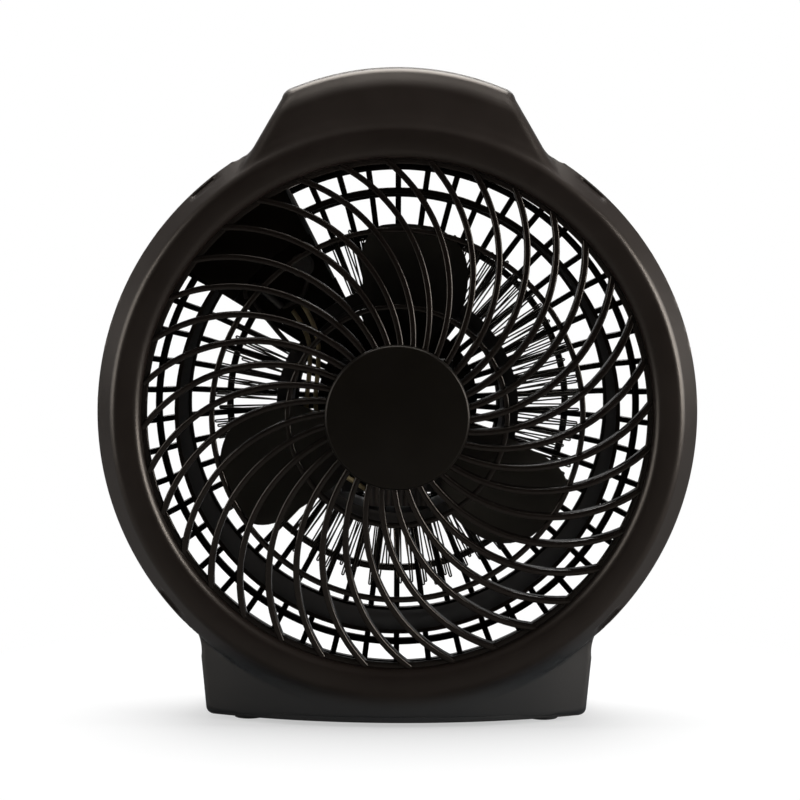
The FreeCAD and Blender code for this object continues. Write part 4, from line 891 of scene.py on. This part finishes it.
def rear_guard():
    step = 360 / SPOKE_COUNT
    in_window = [
        index for index in range(SPOKE_COUNT) if WINDOW_ANGLES[0] < 90 + index * step < WINDOW_ANGLES[1]
    ]
    whole_count = SPOKE_COUNT - len(in_window)
    first_whole = in_window[-1] + 1
    parts = [
        spokes("spokes", DOME_PROFILE[-1][0], 40, whole_count, first_whole * step, step),
        spokes("short_spokes", WINDOW_INNER_RADIUS, 12, len(in_window), in_window[0] * step, step),
    ]
    open_arc = (WINDOW_ANGLES[1], WINDOW_ANGLES[0] + 360)
    for place in DOME_RINGS:
        parts.append(dome_ring("dome_ring", *place, *open_arc))
    parts.append(dome_ring("inner_ring", *INNER_RING))
    element_seat = rounded(rectangle(*ELEMENT_SEAT_RADII, *ELEMENT_SEAT_DEPTHS), SEAT_CORNER)
    parts.append(turned("element_seat", element_seat, guard_plastic))
    shroud_seat = rounded(rectangle(*SHROUD_SEAT_RADII, *SHROUD_SEAT_DEPTHS), SEAT_CORNER)
    parts.append(turned("shroud_seat", shroud_seat, guard_plastic, *open_arc))
    lead_panel = rectangle(REAR_HUB_RADIUS, BOX_END, *ELEMENT_SEAT_DEPTHS)
    parts.append(turned("lead_panel", lead_panel, guard_plastic, *WINDOW_ANGLES, steps=12))
    inner, middle, outer = REAR_RIM_RADII
    parts.append(turned("inner_rim", rectangle(inner, middle, *REAR_RIM_DEPTHS), guard_plastic))
    outer_rim = rectangle(middle, outer, *REAR_RIM_DEPTHS)
    left_well, right_well = SCREW_WELLS
    for start, end in ((left_well, right_well), (right_well, left_well + 360)):
        ends = (start + SCREW_WELL_HALF_ANGLE, end - SCREW_WELL_HALF_ANGLE)
        parts.append(turned("outer_rim", outer_rim, guard_plastic, *ends))
    hub_depth = DOME_PROFILE[0][1]
    dish_depth = hub_depth - REAR_HUB_DISH_DEPTH
    dish_floor, dish_edge = REAR_HUB_DISH_RADII
    parts.append(turned("rear_hub", [
        (0, dish_depth), (dish_floor, dish_depth), (dish_edge, hub_depth),
        (REAR_HUB_RADIUS - REAR_HUB_EDGE, hub_depth), (REAR_HUB_RADIUS, hub_depth - REAR_HUB_EDGE),
        (REAR_HUB_RADIUS, hub_depth - DOME_THICKNESS), (0, hub_depth - DOME_THICKNESS),
    ], guard_plastic))
    return joined("rear_guard", *parts)


stand_for(rear_guard(), "housing", "housing_plastic", "rear_grille")

# Fan: three cambered paddles on a round hub

BLADE_COUNT = 3
BLADE_FIRST_ANGLE = 84.0
BLADE_PITCH = 23.0
BLADE_CENTRE = 17.0
BLADE_THICKNESS = 1.6
BLADE_CAMBER = 1.6
BLADE_CAMBER_GROWTH = 3.0
BLADE_EDGE_POWER = 10
BLADE_TIP_THINNING = 0.9
BLADE_THINNING_POWER = 24
BLADE_TIP_POWER = 12
BLADE_TIP_RADIUS = 76.0
BLADE_LEAD_EDGE = ((7.0, 6.6), (7.0, 24.3), (23.5, 40.0), (25.4, 58.0), (19.5, 70.5), (7.0, 75.68))
BLADE_TRAIL_EDGE = ((-7.0, 6.6), (-7.0, 18.2), (-18.8, 31.9), (-21.5, 50.0), (-24.5, 67.5), (-16.0, 74.3))
FAN_HUB_RADIUS = 9.5
FAN_HUB_DEPTHS = (8.0, 26.0)
FAN_BORE_RADIUS = 2.55
FAN_HUB_EDGE = 0.6
FAN_HUB_NOSE = 2.0


def flowing(corners, count):
    """Smooth run of points that starts and ends on the outer corners and is drawn towards the others."""
    corners = [Vector(corner) for corner in corners]
    points = []
    last = len(corners) - 2
    for index in range(1, last + 1):
        start = corners[0] if index == 1 else (corners[index - 1] + corners[index]) / 2
        end = corners[-1] if index == last else (corners[index] + corners[index + 1]) / 2
        for step in range(count):
            share = step / count
            first = start.lerp(corners[index], share)
            second = corners[index].lerp(end, share)
            points.append(first.lerp(second, share))
    return points + [corners[-1]]


def blade_mesh(angle):
    """One paddle: cambered plate with soft edges between its leading and trailing edge."""
    leads = flowing(BLADE_LEAD_EDGE, count=8)
    trails = flowing(BLADE_TRAIL_EDGE, count=8)
    columns = 14
    tilt = math.radians(BLADE_PITCH)
    turn = math.radians(angle - 90)
    points = []
    for row, (lead, trail) in enumerate(zip(leads, trails)):
        along = row / (len(leads) - 1)
        tip_thinning = math.sqrt(1 - BLADE_TIP_THINNING * along ** BLADE_THINNING_POWER)
        loop = [(column, -1) for column in range(columns + 1)]
        loop += [(column, 1) for column in range(columns - 1, 0, -1)]
        for column, side in loop:
            across = 2 * column / columns - 1
            place = trail.lerp(lead, (across + 1) / 2)
            bulge = math.sqrt(BLADE_TIP_RADIUS ** 2 - place.x ** 2) - place.y
            height = place.y + bulge * along ** BLADE_TIP_POWER
            half = BLADE_THICKNESS / 2 * math.sqrt(1 - across ** BLADE_EDGE_POWER) * tip_thinning
            camber = BLADE_CAMBER * (0.5 - across ** 2) * min(1.0, along * BLADE_CAMBER_GROWTH)
            lift = camber + side * half
            x = place.x * math.cos(tilt) - lift * math.sin(tilt)
            depth = BLADE_CENTRE + place.x * math.sin(tilt) + lift * math.cos(tilt)
            aside = x * math.cos(turn) - height * math.sin(turn)
            up = x * math.sin(turn) + height * math.cos(turn)
            points.append(to_frame(aside, depth, up))
    ring = 2 * columns
    faces = grid_faces(len(leads), ring, False, True)
    faces.append(tuple(range(ring)))
    faces.append(tuple(range((len(leads) - 1) * ring, len(leads) * ring)))
    return new_mesh("blade", points, faces, fan_plastic, smooth_angle=60)


def paddle_fan():
    front, back = FAN_HUB_DEPTHS
    edge = FAN_HUB_RADIUS - FAN_HUB_EDGE
    hub = turned("fan_hub", [
        (FAN_BORE_RADIUS, front), (FAN_HUB_RADIUS - FAN_HUB_NOSE, front), (edge, front + FAN_HUB_EDGE),
        (FAN_HUB_RADIUS, front + FAN_HUB_NOSE), (FAN_HUB_RADIUS, back - FAN_HUB_EDGE), (edge, back),
        (FAN_BORE_RADIUS, back),
    ], fan_plastic, steps=64)
    blades = [blade_mesh(BLADE_FIRST_ANGLE + 360 / BLADE_COUNT * index) for index in range(BLADE_COUNT)]
    return joined("paddle_fan", hub, *blades)


stand_for(paddle_fan(), "fan_rotor", "inner_plastic", "fan_blades")

# Heating wires: two layers of fine hairpins, each layer one unbroken wire that strays a little

HAIRPIN_COUNT = 72
HAIRPIN_START = 152.0
HAIRPIN_SWEEP = 322.0
HAIRPIN_RADII = (47.0, 74.2)
HAIRPIN_TURN_RADIUS = 0.42
HAIRPIN_STRAY = 8.0
HAIRPIN_LEAN = 1.2
HAIRPIN_SWAY = 0.5
HAIRPIN_OVERREACH = 1.0
HAIRPIN_HOOK = 0.7
HAIRPIN_TURN_STEPS = 6
WIRE_THICKNESS = 0.66
ROUND_SECTION = 0.49
LOW_WIRE_DEPTH = 34.4
HIGH_WIRE_DEPTH = 44.4


def hairpin_path(depth, start, chance):
    """Zigzag of radial legs with narrow turns at the outer ends and wider ones at the frame."""
    pitch = HAIRPIN_SWEEP / HAIRPIN_COUNT / 2
    inner, outer = HAIRPIN_RADII
    path = []
    for hairpin in range(HAIRPIN_COUNT):
        middle = start + pitch * (2 * hairpin + 0.5)
        reach = outer + HAIRPIN_OVERREACH - HAIRPIN_STRAY * chance.random() ** 2
        sway = chance.uniform(-HAIRPIN_SWAY, HAIRPIN_SWAY)
        tip_angle = math.radians(middle + chance.uniform(-HAIRPIN_LEAN, HAIRPIN_LEAN))
        outwards = Vector((math.cos(tip_angle), math.sin(tip_angle)))
        aside = Vector((-outwards.y, outwards.x))
        path.append((*on_circle(inner, middle - pitch / 2), depth))
        for step in range(HAIRPIN_TURN_STEPS + 1):
            turn = math.pi * step / HAIRPIN_TURN_STEPS
            place = outwards * (reach + HAIRPIN_TURN_RADIUS * math.sin(turn))
            place -= aside * HAIRPIN_TURN_RADIUS * math.cos(turn)
            path.append((*place, depth + sway))
        path.append((*on_circle(inner, middle + pitch / 2), depth))
        if hairpin < HAIRPIN_COUNT - 1:
            for share in (0.75, 1.25):
                path.append((*on_circle(inner - HAIRPIN_HOOK, middle + pitch * share), depth))
    return path


def round_lead(name, path, thickness, finish):
    return swept(name, path, thickness, thickness, thickness * ROUND_SECTION, finish)


def heating_wire(name, depth, start, seed):
    path = hairpin_path(depth, start, random.Random(seed))
    return link(name, round_lead(name, path, WIRE_THICKNESS, heating_alloy))


half_leg = HAIRPIN_SWEEP / HAIRPIN_COUNT / 4
low_wire = heating_wire("low_wire", LOW_WIRE_DEPTH, HAIRPIN_START, seed=3)
stand_for(low_wire, "housing", "heating_alloy", "heating_wire_low")
high_wire = heating_wire("high_wire", HIGH_WIRE_DEPTH, HAIRPIN_START + half_leg, seed=8)
stand_for(high_wire, "housing", "heating_alloy", "heating_wire_high")

# Insulated leads, each route a run of radius, angle and depth

LEAD_THICKNESS = 2.0
BOX_FACE = 34.0
FUSE_DEPTH = 32.0
COIL_DEPTH = 33.2
MOTOR_ROUTES = (
    ((BOX_END, 133, 42), (48, 135, 40), (38, 148, 34.5), (35, 185, 33.6),
     (34.5, 220, COIL_DEPTH), (32.4, 247.5, COIL_DEPTH)),
    ((BOX_END, 138, 44), (49, 140, 41), (40.5, 152, 35.5), (39.5, 190, 33.6),
     (38.5, 220, COIL_DEPTH), (36.4, 249.9, COIL_DEPTH)),
)
ELEMENT_ROUTES = (
    ((74, 143.5, BOX_FACE), (73.5, 143.8, 31.2), (66, 145.5, 30.8), (53, 149.6, 31.4), (47.4, 151.2, 33.4)),
    ((65.1, 124.6, 32), (61.6, 127.4, 31.4), (60, 133.6, 31.6), (63, 139, FUSE_DEPTH)),
    ((77, 139, FUSE_DEPTH), (79, 140.5, 31.4), (79.2, 143, 31.4), (77, 144.2, BOX_FACE)),
)


def wiring(name, routes, sleeve):
    sleeves = []
    for route in routes:
        corners = [(*on_circle(radius, angle), depth) for radius, angle, depth in route]
        path = [tuple(point) for point in flowing(corners, count=10)]
        sleeves.append(round_lead("sleeve", path, LEAD_THICKNESS, sleeve))
    return joined(name, *sleeves)


stand_for(wiring("motor_wiring", MOTOR_ROUTES, cream_sleeve), "housing", "lead_sleeve", "motor_leads")
stand_for(wiring("element_wiring", ELEMENT_ROUTES, brown_sleeve), "housing", "lead_sleeve", "element_leads")

# Knobs on the back of the control box: a rounded skirt under a tapered grip

KNOB_PLACES = {"selector": (-61.36, 69.35), "thermostat": (-46.65, 52.73)}
KNOB_BODIES = {"selector": "selector", "thermostat": "thermostat_dial"}
KNOB_RADIUS = 10.6
KNOB_FRONT = 66.5
KNOB_SKIRT = 4.0
KNOB_SKIRT_EDGE = ((0.0, 1.2), (0.35, 0.4), (1.2, 0.0))
KNOB_FLUTES = 36
KNOB_FLUTE_STEPS = 4
KNOB_FLUTE_DEPTH = 0.25
KNOB_GRIP_LEVELS = (
    (69.5, 2.4, 10.2), (75.6, 2.15, 9.9), (76.7, 1.95, 9.6), (77.3, 1.5, 9.0), (77.5, 0.9, 8.3),
)
KNOB_GRIP_ROUND = 0.9


def knob_skirt(x, z):
    """Fluted disc with a rounded edge."""
    back = KNOB_FRONT + KNOB_SKIRT
    profile = [(0.0, KNOB_FRONT), (KNOB_RADIUS, KNOB_FRONT)]
    profile += [(KNOB_RADIUS - inset, back - drop) for inset, drop in KNOB_SKIRT_EDGE]
    profile.append((0.0, back))
    rows = KNOB_FLUTES * KNOB_FLUTE_STEPS
    points = []
    for row in range(rows):
        flute = KNOB_FLUTE_DEPTH * (1 - math.cos(math.tau * row / KNOB_FLUTE_STEPS)) / 2
        for radius, depth in profile:
            across, up = on_circle(max(radius - flute, 0), 360 * row / rows)
            points.append(to_frame(x + across, depth, z + up))
    faces = grid_faces(rows, len(profile), True, False)
    return new_mesh("skirt", points, faces, knob_plastic, smooth_angle=40)


def knob_grip(x, z):
    """Tapered bar across the knob, built up in levels of depth, half width and half length."""
    points = []
    for depth, half_width, half_length in KNOB_GRIP_LEVELS:
        bar = rectangle(-half_width, half_width, -half_length, half_length)
        outline = rounded(bar, half_width * KNOB_GRIP_ROUND, count=5)
        points += [to_frame(x + across, depth, z + up) for across, up in outline]
    count = len(points) // len(KNOB_GRIP_LEVELS)
    faces = grid_faces(len(KNOB_GRIP_LEVELS), count, False, True)
    faces += [tuple(range(count)), tuple(range(len(points) - count, len(points)))]
    return new_mesh("grip", points, faces, knob_plastic, smooth_angle=40)


for knob, place in KNOB_PLACES.items():
    piece = joined(f"{knob}_dial", knob_skirt(*place), knob_grip(*place))
    stand_for(piece, KNOB_BODIES[knob], "knob_plastic", f"{knob}_knob")


# Floor, light and camera

FLOOR_PALE = (0.6, 0.6, 0.6)
FLOOR_MIRRORED = (0.12, 0.12, 0.12)
FLOOR_WHITENESS = (0.5, 1.0)
FLOOR_FADE = (0.05, 0.22)
FLOOR_HALF_WIDTH = 6.0


def studio_floor():
    """Pale floor that fades to white away from the heater and is darker in reflections."""
    material, tree, shader = new_material("studio_floor", FLOOR_PALE, 0.9)
    shader.inputs["Specular IOR Level"].default_value = 0.0
    place = add_node(tree, "ShaderNodeNewGeometry").outputs["Position"]
    distance = add_node(tree, "ShaderNodeVectorMath", {"operation": "LENGTH"}, {"Vector": place})
    far = ranged(tree, distance.outputs["Value"], *FLOOR_WHITENESS, *FLOOR_FADE)
    path = add_node(tree, "ShaderNodeLightPath").outputs
    feed(tree, shader, two_tone(tree, path["Is Glossy Ray"], FLOOR_PALE, FLOOR_MIRRORED))
    seen = math_node(tree, "MULTIPLY", far, path["Is Camera Ray"])
    white = add_node(tree, "ShaderNodeEmission", {}, {"Color": (1, 1, 1, 1), "Strength": 1.0})
    mix = add_node(tree, "ShaderNodeMixShader", {}, {
        "Fac": seen, 1: shader.outputs["BSDF"], 2: white.outputs["Emission"],
    })
    tree.links.new(mix.outputs["Shader"], tree.nodes["Material Output"].inputs["Surface"])
    mesh = bpy.data.meshes.new("studio_floor")
    half = FLOOR_HALF_WIDTH
    mesh.from_pydata([(x, y, 0) for x, y in rectangle(-half, half, -half, half)], [], [(0, 1, 2, 3)])
    mesh.materials.append(material)
    link("studio_floor", mesh)


def soft_lamp(name, place, target, width, height, power):
    lamp = bpy.data.lights.new(name, "AREA")
    lamp.shape = "RECTANGLE"
    lamp.size = width
    lamp.size_y = height
    lamp.energy = power
    holder = bpy.data.objects.new(name, lamp)
    holder.location = place
    holder.rotation_euler = (Vector(target) - Vector(place)).to_track_quat("-Z", "Y").to_euler()
    bpy.context.scene.collection.objects.link(holder)


FRONT_FILL = 0.015
BACKDROP_FILL = 0.3
CEILING_FILL = 0.1
RIM_LIGHT_X = 1.15
RIM_LIGHT_YZ = (-0.12, 0.32)
RIM_LIGHT_SIZE = 0.6


def studio_light():
    """Overhead and side softboxes, a white backdrop behind and a dark room in front."""
    middle = (0, 0, AXIS_HEIGHT)
    soft_lamp("top_softbox", (0.0, 0.2, 1.25), middle, width=1.2, height=0.7, power=32)
    soft_lamp("back_softbox", (0.0, 1.2, 0.9), middle, width=1.2, height=0.3, power=7)
    soft_lamp("left_softbox", (-1.0, -0.45, 0.35), middle, width=0.15, height=0.8, power=3.5)
    soft_lamp("right_softbox", (1.0, -0.5, 0.38), middle, width=0.15, height=0.7, power=9)
    for name, x, power in (("right_rim_light", RIM_LIGHT_X, 8), ("left_rim_light", -RIM_LIGHT_X, 3)):
        soft_lamp(name, (x, *RIM_LIGHT_YZ), middle, RIM_LIGHT_SIZE, RIM_LIGHT_SIZE, power)
    world = bpy.data.worlds.new("studio")
    bpy.context.scene.world = world
    world.use_nodes = True
    tree = world.node_tree
    path = add_node(tree, "ShaderNodeLightPath").outputs
    seen = math_node(tree, "MAXIMUM", path["Is Camera Ray"], path["Is Transmission Ray"])
    heading = add_node(tree, "ShaderNodeTexCoord").outputs["Generated"]
    heading = add_node(tree, "ShaderNodeSeparateXYZ", {}, {"Vector": heading}).outputs
    backdrop = ranged(tree, heading["Y"], FRONT_FILL, BACKDROP_FILL, start=-0.1, end=0.6)
    ceiling = ranged(tree, heading["Z"], FRONT_FILL, CEILING_FILL, start=0.25, end=0.6)
    room = math_node(tree, "MAXIMUM", backdrop, ceiling)
    background = tree.nodes["Background"]
    background.inputs["Color"].default_value = (1, 1, 1, 1)
    tree.links.new(math_node(tree, "MAXIMUM", seen, room), background.inputs["Strength"])


CAMERA_PLACE = (0.0007, -1.0240, 0.2108)
CAMERA_PITCH = 4.59
CAMERA_ROLL = -0.24
CAMERA_FOCAL_PIXELS = 2496.0
IMAGE_PIXELS = 800.0
SENSOR_WIDTH = 36.0


def photo_camera():
    lens = bpy.data.cameras.new("photo_camera")
    lens.sensor_width = SENSOR_WIDTH
    lens.lens = CAMERA_FOCAL_PIXELS / IMAGE_PIXELS * SENSOR_WIDTH
    holder = bpy.data.objects.new("photo_camera", lens)
    holder.location = CAMERA_PLACE
    holder.rotation_euler = (math.radians(90 - CAMERA_PITCH), math.radians(CAMERA_ROLL), 0)
    bpy.context.scene.collection.objects.link(holder)
    bpy.context.scene.camera = holder


studio_floor()
studio_light()
photo_camera()
bpy.context.scene.view_settings.view_transform = "Standard"
